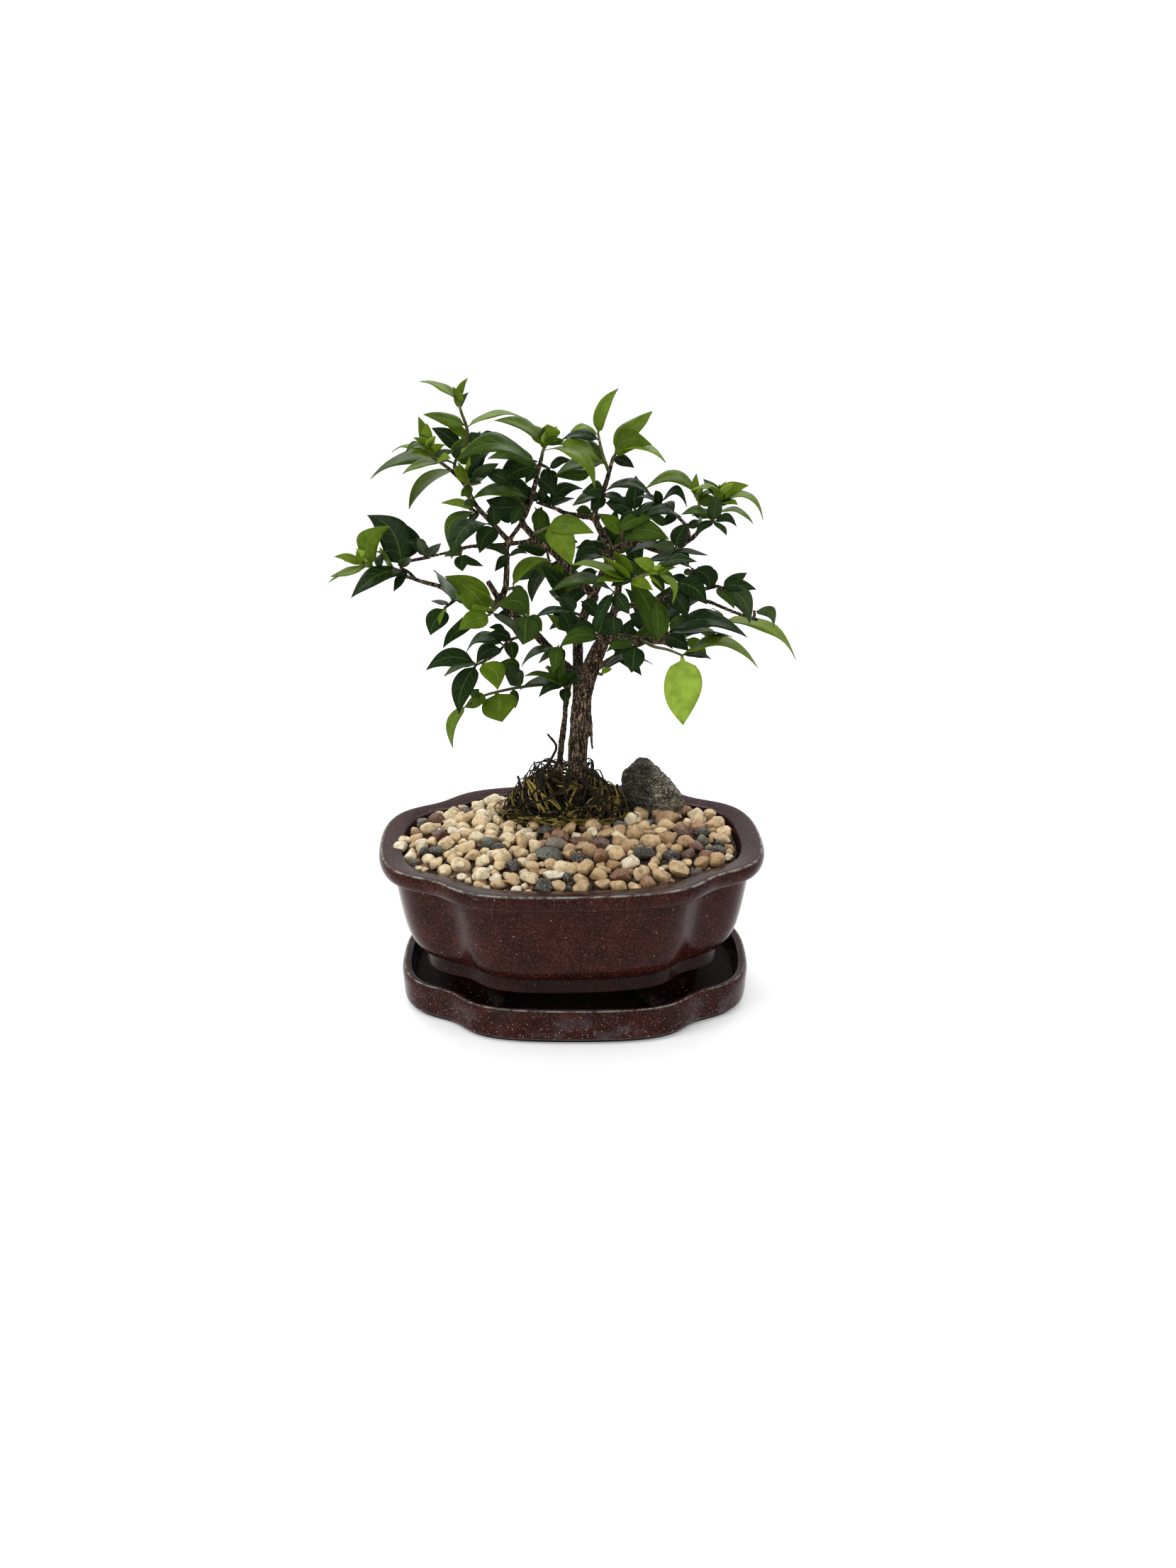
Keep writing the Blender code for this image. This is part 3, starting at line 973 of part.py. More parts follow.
def make_sprays(parts, obstacles):
    materials = {name: make_material(name) for name in ("dark", "mid", "young")}
    routes = [place_twig(name, spots, obstacles) for name, _, spots, _ in SPRAYS]
    total = 0
    for (name, colour, _, leaves), route in zip(SPRAYS, routes):
        pieces = new_collection(name + " leaves")
        length = sum((after - before).length for before, after in zip(route, route[1:]))
        first, last = min(FIRST_LEAF / length, 0.9), 1 - LAST_LEAF / length
        for number, (share, x, z, reach, seen_width, arch) in enumerate(leaves):
            root = along_route(route, max(first, min(share, last)))
            depth = depth_of(root)
            tip = spot(x, z, depth + reach * LEAF_REACH)
            found = settle_leaf(name, root, tip, seen_width, arch, obstacles)
            if found is None:
                print("leaf has no room:", name, number)
                continue
            grid, _, _ = leaf_rows(root, found[0], found[1], arch)
            obstacles.add(*leaf_sheet(grid), name)
            make_blade(f"{name}_leaf_{number}", grid, pieces)
            total += 1
        twig = add_object(name, tube(name, route, twig_radii(route), 4), parts, materials[colour])
        fuse(twig, pieces)
    print(f"{total} leaves on {len(SPRAYS)} twigs")


def depth_of(point):
    """How far beyond the trunk's plane a point lies along its line of sight."""
    share = (TRUNK_PLANE - EYE.y) / (point.y - EYE.y)
    on_plane = EYE + (point - EYE) * share
    return (point - on_plane).dot((on_plane - EYE).normalized()) / DEPTH_UNIT


def main():
    clear_scene()
    parts = new_collection("barbados_cherry_bonsai")
    cutters = new_collection("cutters")
    obstacles = Obstacles()
    make_tray(parts)
    pot = make_pot(parts, cutters)
    obstacles.add_object(pot, "pot")
    make_soil(parts, cutters)
    rock = make_rock(parts)
    obstacles.add_object(rock, "rock")
    make_trunk(parts, obstacles)
    make_moss(parts, cutters, obstacles)
    make_gravel(parts, cutters)
    make_sprays(parts, obstacles)
    for obj in parts.objects:
        obj.data.shade_smooth()
        obj.data.set_sharp_from_angle(angle=math.radians(40))


main()
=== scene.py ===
"""Looks of a Barbados cherry bonsai in its lobed pot: a lesson in cells."""
# %% [markdown]
# # A Barbados cherry bonsai, dressed
# The solid model of this potted tree is already there, at its real size. This lesson models
# what the eye sees, exactly where the solid pieces stand: glazed stoneware, loose gravel,
# stringy roots and moss, flaky bark, and leaves that each have their own tone. Run the cells
# in order. Each one prints what it made or measured.

# %% Load the solid model
import math
import random
from functools import partial

import bmesh
import bpy
from mathutils import Euler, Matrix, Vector, noise


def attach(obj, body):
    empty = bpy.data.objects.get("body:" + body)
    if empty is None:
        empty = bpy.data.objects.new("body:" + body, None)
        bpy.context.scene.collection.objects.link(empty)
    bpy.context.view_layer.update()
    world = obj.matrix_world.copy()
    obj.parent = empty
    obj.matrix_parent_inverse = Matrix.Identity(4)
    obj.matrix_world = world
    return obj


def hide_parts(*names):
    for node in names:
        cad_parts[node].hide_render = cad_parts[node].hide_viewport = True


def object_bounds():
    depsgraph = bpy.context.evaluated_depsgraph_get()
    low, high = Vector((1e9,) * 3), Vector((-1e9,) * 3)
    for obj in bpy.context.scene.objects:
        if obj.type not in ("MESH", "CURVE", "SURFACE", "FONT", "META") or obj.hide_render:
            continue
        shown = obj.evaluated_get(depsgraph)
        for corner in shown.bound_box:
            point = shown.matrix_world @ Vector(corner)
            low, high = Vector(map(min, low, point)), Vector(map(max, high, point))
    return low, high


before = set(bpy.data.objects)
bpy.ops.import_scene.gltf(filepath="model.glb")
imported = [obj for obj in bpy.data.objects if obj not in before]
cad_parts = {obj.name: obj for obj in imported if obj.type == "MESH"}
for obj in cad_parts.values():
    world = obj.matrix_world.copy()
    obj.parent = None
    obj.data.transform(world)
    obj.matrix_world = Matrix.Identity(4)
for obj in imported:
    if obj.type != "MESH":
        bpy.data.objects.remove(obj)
cad_box = [list(corner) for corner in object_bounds()]
MM = 0.001
lowest = Vector(cad_box[0])
highest = Vector(cad_box[1])
print("solid model, mm:", [round(side / MM, 1) for side in highest - lowest])

# %% [markdown]
# ## Camera and studio
# The tree is looked down on from a little above the pot's rim, about 70 cm away. The studio
# is plain: white paper below and white all round, so that only the contact of the tray with
# the paper is shaded. A long, narrow lamp behind draws the bright line along the rim, and a
# soft one at the upper left gives the leaves a light and a shaded side.

# %% Camera
EYE = Vector((7.0, -657.0, 331.0))
AIM = Vector((7.0, 0.0, 90.4))
LENS = 38.75
CLIP_START = 0.01  # metres
bpy.context.scene.view_settings.view_transform = "Standard"
bpy.ops.object.camera_add(location=EYE * MM)
camera = bpy.context.object
camera.name = "camera"
camera.rotation_euler = (AIM - EYE).to_track_quat("-Z", "Y").to_euler()
camera.data.lens = LENS
camera.data.clip_start = CLIP_START
bpy.context.scene.camera = camera
print("camera distance, mm:", round((AIM - EYE).length))


# %% Colours are written as on a colour card
def colour(hex_code):
    """An sRGB hex colour as the linear colour that shaders calculate with."""
    shades = [int(hex_code[place:place + 2], 16) / 255 for place in (1, 3, 5)]
    linear = [shade / 12.92 if shade <= 0.04045 else ((shade + 0.055) / 1.055) ** 2.4
              for shade in shades]
    return (*linear, 1.0)


# %% Lamps, sky and floor
PAPER_WHITE = "#f8f8f8"
PAPER_GLOW = 0.13  # light through the paper, which keeps shadows faint
PAPER_ROUGHNESS = 0.9
PAPER_SIZE = 6.0  # metres
PAPER_LEVEL = -0.1  # mm, just under the tray
SKY_WHITE = "#ffffff"
SKY_STRENGTH = 1.08
LAMPS = (  # name, place and aim in mm, length and width in mm, watts
    ("strip_behind", (-30, 420, 560), (0, 0, 70), (760, 70), 2.4),
    ("soft_upper_left", (-430, -330, 640), (0, 0, 120), (260, 260), 1.6),
    ("low_front_left", (-470, -560, 180), (0, 0, 40), (60, 260), 0.5),
)


def deselect():
    """Leaves edit mode and selects nothing, so that an operator acts on its own piece alone."""
    if bpy.context.object and bpy.context.object.mode != "OBJECT":
        bpy.ops.object.mode_set(mode="OBJECT")
    bpy.ops.object.select_all(action="DESELECT")


for name, place, aim, (length, width), watts in LAMPS:
    deselect()
    bpy.ops.object.light_add(type="AREA", location=Vector(place) * MM)
    lamp = bpy.context.object
    lamp.name = name
    lamp.rotation_euler = (Vector(aim) - Vector(place)).to_track_quat("-Z", "Y").to_euler()
    lamp.data.shape = "RECTANGLE"
    lamp.data.size = length * MM
    lamp.data.size_y = width * MM
    lamp.data.energy = watts

sky = bpy.data.worlds.new("white paper all round")
sky.use_nodes = True
background = sky.node_tree.nodes["Background"].inputs
background["Color"].default_value = colour(SKY_WHITE)
background["Strength"].default_value = SKY_STRENGTH
bpy.context.scene.world = sky

deselect()
bpy.ops.mesh.primitive_plane_add(size=PAPER_SIZE, location=(0, 0, PAPER_LEVEL * MM))
floor = bpy.context.object
floor.name = "floor"
paper = bpy.data.materials.new("white paper")
paper.use_nodes = True
sheet = paper.node_tree.nodes["Principled BSDF"].inputs
for key, value in (("Base Color", colour(PAPER_WHITE)), ("Roughness", PAPER_ROUGHNESS),
                   ("Emission Color", colour(PAPER_WHITE)), ("Emission Strength", PAPER_GLOW)):
    sheet[key].default_value = value
floor.data.materials.append(paper)
print("lamps:", [lamp[0] for lamp in LAMPS])

# %% [markdown]
# ## Finishes
# Each material starts from what the real one is. A pattern's scale comes from the real size
# of one of its spots: a noise of scale 1 / 7 mm has clouds about 7 mm across. It reads Object
# coordinates, which here are metres in the shared frame. Where tones belong to single
# stones, strands or leaves, the mesh carries them as an attribute called tone. In a room
# that is white all round, a full reflection would veil the dark glaze and leaves, so their
# specular level is set below that of plain glass.


# %% Helpers for every material
def set_inputs(node, inputs):
    """Each input takes a number, a hex colour, a node or one of a node's outputs."""
    for key, value in inputs.items():
        if isinstance(value, bpy.types.Node):
            value = value.outputs[0]
        if isinstance(value, bpy.types.NodeSocket):
            node.id_data.links.new(value, node.inputs[key])
        else:
            node.inputs[key].default_value = colour(value) if isinstance(value, str) else value


def add_node(material, kind, inputs=None, settings=None, stops=()):
    """Adds a shader node with its inputs and settings, and a colour ramp's stops."""
    node = material.node_tree.nodes.new("ShaderNode" + kind)
    for key, value in (settings or {}).items():
        setattr(node, key, value)
    set_inputs(node, inputs or {})
    for number, (place, hex_code) in enumerate(stops):
        points = node.color_ramp.elements
        point = points[number] if number < len(points) else points.new(place)
        point.position = place
        point.color = colour(hex_code)
    return node


def new_material(name, roughness, specular):
    """A material, its shader, add_node for that material, and its Object coordinates."""
    material = bpy.data.materials.new(name)
    material.use_nodes = True
    shader = material.node_tree.nodes["Principled BSDF"]
    set_inputs(shader, {"Roughness": roughness, "Specular IOR Level": specular})
    add = partial(add_node, material)
    print("material:", name)
    return material, shader, add, add("TexCoord").outputs["Object"]


PRODUCT = {"operation": "MULTIPLY"}
BLEND = {"data_type": "RGBA"}
TINT = {"data_type": "RGBA", "blend_type": "MULTIPLY"}
SMOOTH = {"interpolation_type": "SMOOTHSTEP"}
LINEAR = {"interpolation_type": "LINEAR"}


def with_marks(add, base, marks):
    """Lays marks over a colour in turn. Each one has the value it follows, where on that value
    it begins and where it is full, how much it covers, its colour, and how it sets in."""
    for value, begins, full, cover, tint, onset in marks:
        share = add("MapRange", {"Value": value, "From Min": begins, "From Max": full,
                                 "To Max": cover}, onset)
        base = add("Mix", {0: share, 6: base, 7: tint}, BLEND).outputs[2]
    return base

# %% [markdown]
# The pot and the tray are stoneware with an oxblood glaze. Iron and copper in such a glaze
# cloud it from near black to blood red, it breaks grey green where it runs thin over an
# edge, and tiny bubbles leave pale specks and dark pinholes. The pale line along the outer
# edges is also a painted highlight. Where the edge value is below zero, the glaze is darker:
# that is pooled glaze and also painted shade, in the hollows, at the foot and inside the rim.

# %% Oxblood glaze
glaze, shader, add, place = new_material("oxblood glazed stoneware", 0.2, 0.08)
cloud = add("TexNoise", {"Vector": place, "Scale": 1 / (9 * MM), "Detail": 8.0, "Roughness": 0.62})
base = add("ValToRGB", {"Fac": cloud}, stops=(
    (0.30, "#1b0908"), (0.46, "#260e0b"), (0.60, "#31120e"), (0.75, "#351e1b")))
grain = add("TexNoise", {"Vector": place, "Scale": 1 / (0.8 * MM), "Detail": 3.0})
bubble = add("TexVoronoi", {"Vector": place, "Scale": 1 / (3.6 * MM)})
pinhole = add("TexVoronoi", {"Vector": place, "Scale": 1 / (6.1 * MM)})
# Edge value of each ring: above zero a pale line, which is thin glaze and a painted highlight; below
# zero darker glaze, which is pooled glaze and painted shade
thickness = add("Attribute", settings={"attribute_name": "edge"}).outputs["Fac"]
base = with_marks(add, base, (
    (grain, 0.5, 0.78, 0.8, "#5a3a36", SMOOTH), (grain, 0.46, 0.3, 0.8, "#0e0505", SMOOTH),
    (bubble, 0.08, 0.03, 1.0, "#a89c96", LINEAR), (pinhole, 0.07, 0.04, 1.0, "#0a0404", LINEAR),
    (thickness, -0.1, -1.0, 0.85, "#100504", LINEAR)))
height = add("SeparateXYZ", {"Vector": place}).outputs[2]
low = add("MapRange", {"Value": height, "From Min": 17 * MM, "From Max": 5 * MM}, SMOOTH)
frost = add("TexNoise", {"Vector": place, "Scale": 1 / (12 * MM), "Detail": 3.0})
frost = add("MapRange", {"Value": frost, "From Min": 0.48, "From Max": 0.62, "To Max": 0.9}, SMOOTH)
frost = add("Math", {0: frost, 1: grain}, PRODUCT)
salt = add("TexVoronoi", {"Vector": place, "Scale": 1 / (1.5 * MM)})
salt = add("MapRange", {"Value": salt, "From Min": 0.16, "From Max": 0.1}, SMOOTH)
# The pale broken line on the edges is thin glaze breaking grey green, and also a painted highlight
broken_edge_and_painted_highlight = add("TexNoise", {"Vector": place, "Scale": 1 / (5 * MM), "Detail": 7.0, "Roughness": 0.75})
broken_edge_and_painted_highlight = add("MapRange", {"Value": broken_edge_and_painted_highlight, "From Min": 0.42, "From Max": 0.58, "To Min": 0.12}, SMOOTH)
thin_glaze_and_painted_highlight = add("MapRange", {"Value": thickness, "From Min": 0.3, "From Max": 1.0}, SMOOTH)
for pattern, where, tint in ((frost, low, "#4f4a4c"), (salt, low, "#a79f9a"),
                             (broken_edge_and_painted_highlight, thin_glaze_and_painted_highlight, "#84857d")):
    share = add("Math", {0: pattern, 1: where}, PRODUCT)
    base = add("Mix", {0: share, 6: base, 7: tint}, BLEND).outputs[2]
ripple = add("TexNoise", {"Vector": place, "Scale": 1 / (1.8 * MM), "Detail": 3.0})
bump = add("Bump", {"Height": ripple, "Strength": 0.3, "Distance": 0.12 * MM})
set_inputs(shader, {"Base Color": base, "Normal": bump})

# %% Glaze on the tray's floor: darkened as painted shade under the pot, with pale scale spots
shaded_tray_floor_glaze, shader, add, place = new_material("tray floor glaze in painted shade", 0.6, 0.06)
chalk = add("TexNoise", {"Vector": place, "Scale": 1 / (2.5 * MM), "Detail": 6.0})
# Its near-black stops are painted shade; the pale stop gives spots of scale
base = add("ValToRGB", {"Fac": chalk}, stops=((0.4, "#120606"), (0.6, "#1f0c0a"), (0.8, "#4a3a35")))
set_inputs(shader, {"Base Color": base})

# %% [markdown]
# The gravel is river stone, mostly tan and cream quartz and sandstone with a few dark slates.
# The tone attribute picks the kind of stone from the ramp, and noise gives each one clouds
# and grains.

# %% Pebbles
STONE_KINDS = (
    (0.00, "#1f1b1c"), (0.10, "#302f2d"), (0.18, "#45473c"), (0.26, "#6a665b"),
    (0.33, "#4d3029"), (0.41, "#7a5338"), (0.50, "#a6845a"), (0.60, "#b69a70"),
    (0.72, "#c8ae84"), (0.86, "#d8c6a0"), (1.00, "#dad3c0"))
pebble, shader, add, place = new_material("river pebbles", 0.55, 0.35)
kind = add("Attribute", settings={"attribute_name": "tone"}).outputs["Fac"]
base = add("ValToRGB", {"Fac": kind}, stops=STONE_KINDS)
cloud = add("TexNoise", {"Vector": place, "Scale": 1 / (2.6 * MM), "Detail": 5.0})
cloud = add("MapRange", {"Value": cloud, "From Min": 0.45, "From Max": 0.62, "To Max": 0.5})
base = add("Mix", {0: cloud, 6: base, 7: "#96785a"}, TINT).outputs[2]
grain = add("TexNoise", {"Vector": place, "Scale": 1 / (0.45 * MM), "Detail": 3.0})
base = with_marks(add, base, ((grain, 0.58, 0.68, 0.5, "#33261d", LINEAR),
                              (grain, 0.42, 0.34, 0.5, "#d3c8b0", LINEAR)))
bump = add("Bump", {"Height": grain, "Strength": 0.6, "Distance": 0.15 * MM})
set_inputs(shader, {"Base Color": base, "Normal": bump})

# %% Bare clay and grit, both darkened as painted shade, and soil
# Name, roughness, size of a grain in mm, the ramp from its hollows to its tips, and how strong
# and how deep in mm the relief is
GRITTY = (
    # The bare clay's ramp is near black: its own colour, darkened as painted shade under the tray's
    # foot
    ("bare stoneware clay in painted shade", 0.85, 1.2, ((0.3, "#0e0a08"), (0.7, "#231a16")), 0.6, 0.1),
    # The grit is dark as painted shade in the gaps between the pebbles
    ("grit in painted shade", 0.95, 1.4, ((0.35, "#16100b"), (0.7, "#4d3b27")), 1.0, 0.5),
    ("potting soil", 0.95, 1.8, ((0.35, "#0d0906"), (0.7, "#2c2017")), 1.0, 0.5))
gritty = []
for name, roughness, size, stops, strength, depth in GRITTY:
    material, shader, add, place = new_material(name, roughness, 0.3)
    crumb = add("TexNoise", {"Vector": place, "Scale": 1 / (size * MM), "Detail": 5.0})
    base = add("ValToRGB", {"Fac": crumb}, stops=stops)
    bump = add("Bump", {"Height": crumb, "Strength": strength, "Distance": depth * MM})
    set_inputs(shader, {"Base Color": base, "Normal": bump})
    gritty.append(material)
clay, grit_in_painted_shade, soil = gritty

# %% Weathered limestone
limestone, shader, add, place = new_material("weathered limestone", 0.85, 0.25)
lean = add("Mapping", {"Vector": place, "Rotation": (0.0, -0.75, 0.3),
                       "Scale": (1 / (5 * MM), 1 / (4 * MM), 1 / (1.6 * MM))})
strata = add("TexNoise", {"Vector": lean, "Scale": 1.0, "Detail": 9.0, "Roughness": 0.68})
base = add("ValToRGB", {"Fac": strata}, stops=(
    (0.36, "#14120c"), (0.45, "#2c291f"), (0.52, "#48443a"), (0.59, "#6b6656"), (0.68, "#a09c8a")))
speck = add("TexNoise", {"Vector": place, "Scale": 1 / (0.5 * MM), "Detail": 2.0})
painted_shade_by_x = add("SeparateXYZ", {"Vector": place})
crack = add("Attribute", settings={"attribute_name": "crack"}).outputs["Fac"]
# Painted shade: the stone's left side, where x falls from 38 to 32 mm, is darkened as if turned from
# the light; specks and cracks are its own
base = with_marks(add, base, (
    (speck, 0.44, 0.36, 0.8, "#12110d", LINEAR), (speck, 0.56, 0.66, 0.75, "#c2bda8", LINEAR),
    (painted_shade_by_x, 38 * MM, 32 * MM, 0.66, "#14120d", SMOOTH), (crack, 0.15, 0.75, 1.0, "#100e0b", SMOOTH)))
bump = add("Bump", {"Height": strata, "Strength": 0.9, "Distance": 0.6 * MM})
set_inputs(shader, {"Base Color": base, "Normal": bump})

# %% [markdown]
# Roots, moss and bark are dull and fibrous. Bark gets noise that is drawn out along the stem
# and a strong relief, and its cut ends show fresh wood by an attribute. Roots and moss take
# their tone from each strand's own.

# %% Roots, moss and green twigs
fibrous = []
# The moss ramp's pale end is partly the colour of dry strands and partly a painted highlight
for name, roughness, stops in (
        ("dry fine roots", 0.9, ((0.0, "#0d0a06"), (0.5, "#1f180f"), (1.0, "#44362a"))),
        ("stringy moss", 0.85, ((0.0, "#15110a"), (0.4, "#352d10"), (0.7, "#6b5d24"),
                                (1.0, "#ab9a55")))):
    material, shader, add, place = new_material(name, roughness, 0.2)
    tone = add("Attribute", settings={"attribute_name": "tone"}).outputs["Fac"]
    base = add("ValToRGB", {"Fac": tone}, stops=stops)
    fuzz = add("TexNoise", {"Vector": place, "Scale": 1 / (0.7 * MM), "Detail": 4.0})
    base = add("Mix", {0: fuzz, 6: base, 7: "#b5ab8c"}, TINT).outputs[2]
    bump = add("Bump", {"Height": fuzz, "Strength": 0.6, "Distance": 0.2 * MM})
    set_inputs(shader, {"Base Color": base, "Normal": bump})
    fibrous.append(material)
root, moss = fibrous

shoot, shader, add, place = new_material("green twig", 0.6, 0.3)
skin = add("TexNoise", {"Vector": place, "Scale": 1 / (2.5 * MM), "Detail": 4.0})
base = add("ValToRGB", {"Fac": skin}, stops=((0.35, "#33331a"), (0.7, "#5c5f2a")))
set_inputs(shader, {"Base Color": base})

# %% Flaky bark
bark, shader, add, place = new_material("flaky bark", 0.9, 0.15)
drawn = add("Mapping", {"Vector": place, "Scale": (1 / (0.9 * MM), 1 / (0.9 * MM), 1 / (3.6 * MM))})
flake = add("TexNoise", {"Vector": drawn, "Scale": 1.0, "Detail": 8.0, "Roughness": 0.66})
base = add("ValToRGB", {"Fac": flake}, stops=(
    (0.40, "#050403"), (0.48, "#19120d"), (0.54, "#3c3026"), (0.60, "#6a5744"), (0.68, "#a59475")))
speck = add("TexNoise", {"Vector": place, "Scale": 1 / (0.7 * MM), "Detail": 2.0})
cut = add("Attribute", settings={"attribute_name": "cut"}).outputs["Fac"]
base = with_marks(add, base, ((speck, 0.6, 0.68, 0.8, "#a3926f", LINEAR),
                              (cut, 0.3, 0.7, 1.0, "#94705a", SMOOTH)))
bump = add("Bump", {"Height": flake, "Strength": 0.9, "Distance": 0.5 * MM})
set_inputs(shader, {"Base Color": base, "Normal": bump})

# %% [markdown]
# A leaf of this species is leathery and waxy: dark when mature, bright yellow green when
# young or with the light behind it, and grey where it mirrors the sky. The tone attribute
# holds that. The leaf's own UV map, u across and v along, carries the pale midrib and the
# side veins, which leave it at a slant and fade towards the margin.

# %% Leaf
LEAF_TONES = ((0.0, "#3a4a2c"), (0.2, "#14260b"), (0.34, "#1f3510"), (0.48, "#33480f"),
              (0.72, "#4a600f"), (0.9, "#62781a"), (1.0, "#8ca63c"))
SIDE_VEINS = 7.0
VEIN_SLANT = 1.6
leaf, shader, add, place = new_material("waxy leaf", 0.38, 0.055)
sides = add("SeparateXYZ", {"Vector": add("UVMap", settings={"uv_map": "UVMap"})})
off = add("Math", {0: sides, 1: 0.5}, {"operation": "SUBTRACT"})
off = add("Math", {0: off}, {"operation": "ABSOLUTE"})
midrib = add("MapRange", {"Value": off, "From Min": 0.04, "From Max": 0.01}, SMOOTH)
along = add("Math", {0: off, 1: -VEIN_SLANT / 4, 2: sides.outputs[1]}, {"operation": "MULTIPLY_ADD"})
wave = add("Math", {0: along, 1: SIDE_VEINS * 2 * math.pi}, PRODUCT)
wave = add("Math", {0: wave}, {"operation": "SINE"})
vein = add("MapRange", {"Value": wave, "From Min": 0.9, "From Max": 1.0}, SMOOTH)
fade = add("MapRange", {"Value": off, "From Min": 0.47, "From Max": 0.25}, SMOOTH)
vein = add("Math", {0: vein, 1: fade}, PRODUCT)
tone = add("Attribute", settings={"attribute_name": "tone"}).outputs["Fac"]
base = add("ValToRGB", {"Fac": tone}, stops=LEAF_TONES)
patch = add("TexNoise", {"Vector": place, "Scale": 1 / (4.5 * MM), "Detail": 4.0})
patch = add("MapRange", {"Value": patch, "From Min": 0.3, "From Max": 0.75, "To Max": 0.6})
base = add("Mix", {0: patch, 6: base, 7: "#84904e"}, TINT).outputs[2]
for pattern, cover, tint in ((vein, 0.06, "#a3b36a"), (midrib, 0.1, "#a9b873")):
    share = add("Math", {0: pattern, 1: cover}, PRODUCT)
    base = add("Mix", {0: share, 6: base, 7: tint}, BLEND).outputs[2]
ribs = add("Math", {0: vein, 1: midrib}, {"operation": "MAXIMUM"})
bump = add("Bump", {"Height": ribs, "Strength": 0.6, "Distance": -0.2 * MM})
set_inputs(shader, {"Base Color": base, "Normal": bump})

# %% [markdown]
# ## Shaping tools
# Every piece is modelled at the world's origin, so its place lies in its mesh. After its
# modifiers are applied it is handed over: it rides on the one body, the solid pieces it
# covers are hidden, and it takes its materials.


# %% Helpers for pieces
def unit(value):
    """The value, kept between 0 and 1."""
    return min(1.0, max(0.0, value))


def select_only(*pieces):
    """Selects these pieces alone and makes the last one active."""
    deselect()
    for piece in pieces:
        piece.select_set(True)
    bpy.context.view_layer.objects.active = pieces[-1]


def apply_modifier(piece, kind, settings):
    """Adds a modifier with its settings and applies it."""
    select_only(piece)
    modifier = piece.modifiers.new(kind.lower(), kind)
    for key, value in settings:
        setattr(modifier, key, value)
    bpy.ops.object.modifier_apply(modifier=modifier.name)


def set_attribute(piece, name, values):
    """Stores one number for each vertex."""
    data = piece.data.attributes.get(name) or piece.data.attributes.new(name, "FLOAT", "POINT")
    data.data.foreach_set("value", values)


def push_out(piece, distance):
    """Moves each point along its normal by a distance that depends on its place, in mm."""
    moved = [vertex.co + vertex.normal * distance(vertex.co / MM) * MM
             for vertex in piece.data.vertices]
    piece.data.vertices.foreach_set("co", [side for place in moved for side in place])
    piece.data.update()


def hand_over(piece, name, nodes, materials, smooth_angle=None):
    """Names and colours a finished piece and ties it to the solid model."""
    select_only(piece)
    piece.name = name
    piece.data.name = name
    bpy.ops.object.transform_apply(location=True, rotation=True, scale=True)
    for vertex in piece.data.vertices:
        vertex.co = [min(max(side, low), high)
                     for side, low, high in zip(vertex.co, lowest, highest)]
    if materials:
        piece.data.materials.clear()
        for material in materials:
            piece.data.materials.append(material)
    if smooth_angle is None:
        bpy.ops.object.shade_smooth()
    else:
        bpy.ops.object.shade_smooth_by_angle(angle=math.radians(smooth_angle))
    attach(piece, "root")
    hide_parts(*nodes)
    print(f"{name}: {len(piece.data.polygons)} faces")


def mesh_piece(name, verts, faces):
    """An object from points in mm and the faces between them."""
    mesh = bpy.data.meshes.new(name)
    mesh.from_pydata([Vector(point) * MM for point in verts], [], faces)
    piece = bpy.data.objects.new(name, mesh)
    bpy.context.scene.collection.objects.link(piece)
    return piece


TUBE_WELD = 0.002  # mm


def tubes(name, routes, resolution=2):
    """One mesh of round bars. Each route is a list of points in mm with a radius each."""
    curve = bpy.data.curves.new(name, "CURVE")
    curve.dimensions = "3D"
    curve.bevel_depth = MM
    curve.bevel_resolution = resolution
    curve.use_fill_caps = True
    for points, radii in routes:
        spline = curve.splines.new("POLY")
        spline.points.add(len(points) - 1)
        for spline_point, place, radius in zip(spline.points, points, radii):
            spline_point.co = (*(Vector(place) * MM), 1.0)
            spline_point.radius = radius
    piece = bpy.data.objects.new(name, curve)
    bpy.context.scene.collection.objects.link(piece)
    select_only(piece)
    bpy.ops.object.convert(target="MESH")
    bpy.ops.object.mode_set(mode="EDIT")
    bpy.ops.mesh.select_all(action="SELECT")
    bpy.ops.mesh.remove_doubles(threshold=TUBE_WELD * MM)
    bpy.ops.mesh.normals_make_consistent(inside=False)
    bpy.ops.object.mode_set(mode="OBJECT")
    return piece


def smooth_route(points, spans):
    """Points of a smooth curve through the route's own points."""
    points = [Vector(point) for point in points]
    padded = [2 * points[0] - points[1], *points, 2 * points[-1] - points[-2]]
    result = []
    for before, start, end, after in zip(padded, padded[1:], padded[2:], padded[3:]):
        for step in range(spans):
            t = step / spans
            result.append(0.5 * (2 * start + (end - before) * t
                                 + (2 * before - 5 * start + 4 * end - after) * t * t
                                 + (3 * start - before - 3 * end + after) * t ** 3))
    result.append(points[-1])
    return result


# %% [markdown]
# ## Pot and tray
# Both have the same lobed outline, an oblong with a notch towards each corner, and only its
# size changes with height. So a filled circle is extruded from ring to ring, and each new
# ring is laid on the outline of its height. A turned profile would not do, because the
# outline isn't round. Each corner of the profile is eased by two more rings, which give the
# glaze its bright, narrow line of light.

# %% The lobed outline
POT_TURN = math.radians(3.0)
TRAY_X = 1.4
CORNER = 2.6
NOTCH_ANGLE = math.pi / 4
NOTCH_SPREAD = 0.25
RING_POINTS = 160
TRAY_FLOOR = 6.0
FOOT_BOTTOM = 6.3
ARCH_TOP = 19.3
FOOT_REACH = 0.42
FOOT_SLOPE = 0.16


def corner_distance(angle):
    """How far round the outline an angle is from the nearest notch."""
    folded = angle % math.pi
    return abs(min(folded, math.pi - folded) - NOTCH_ANGLE)


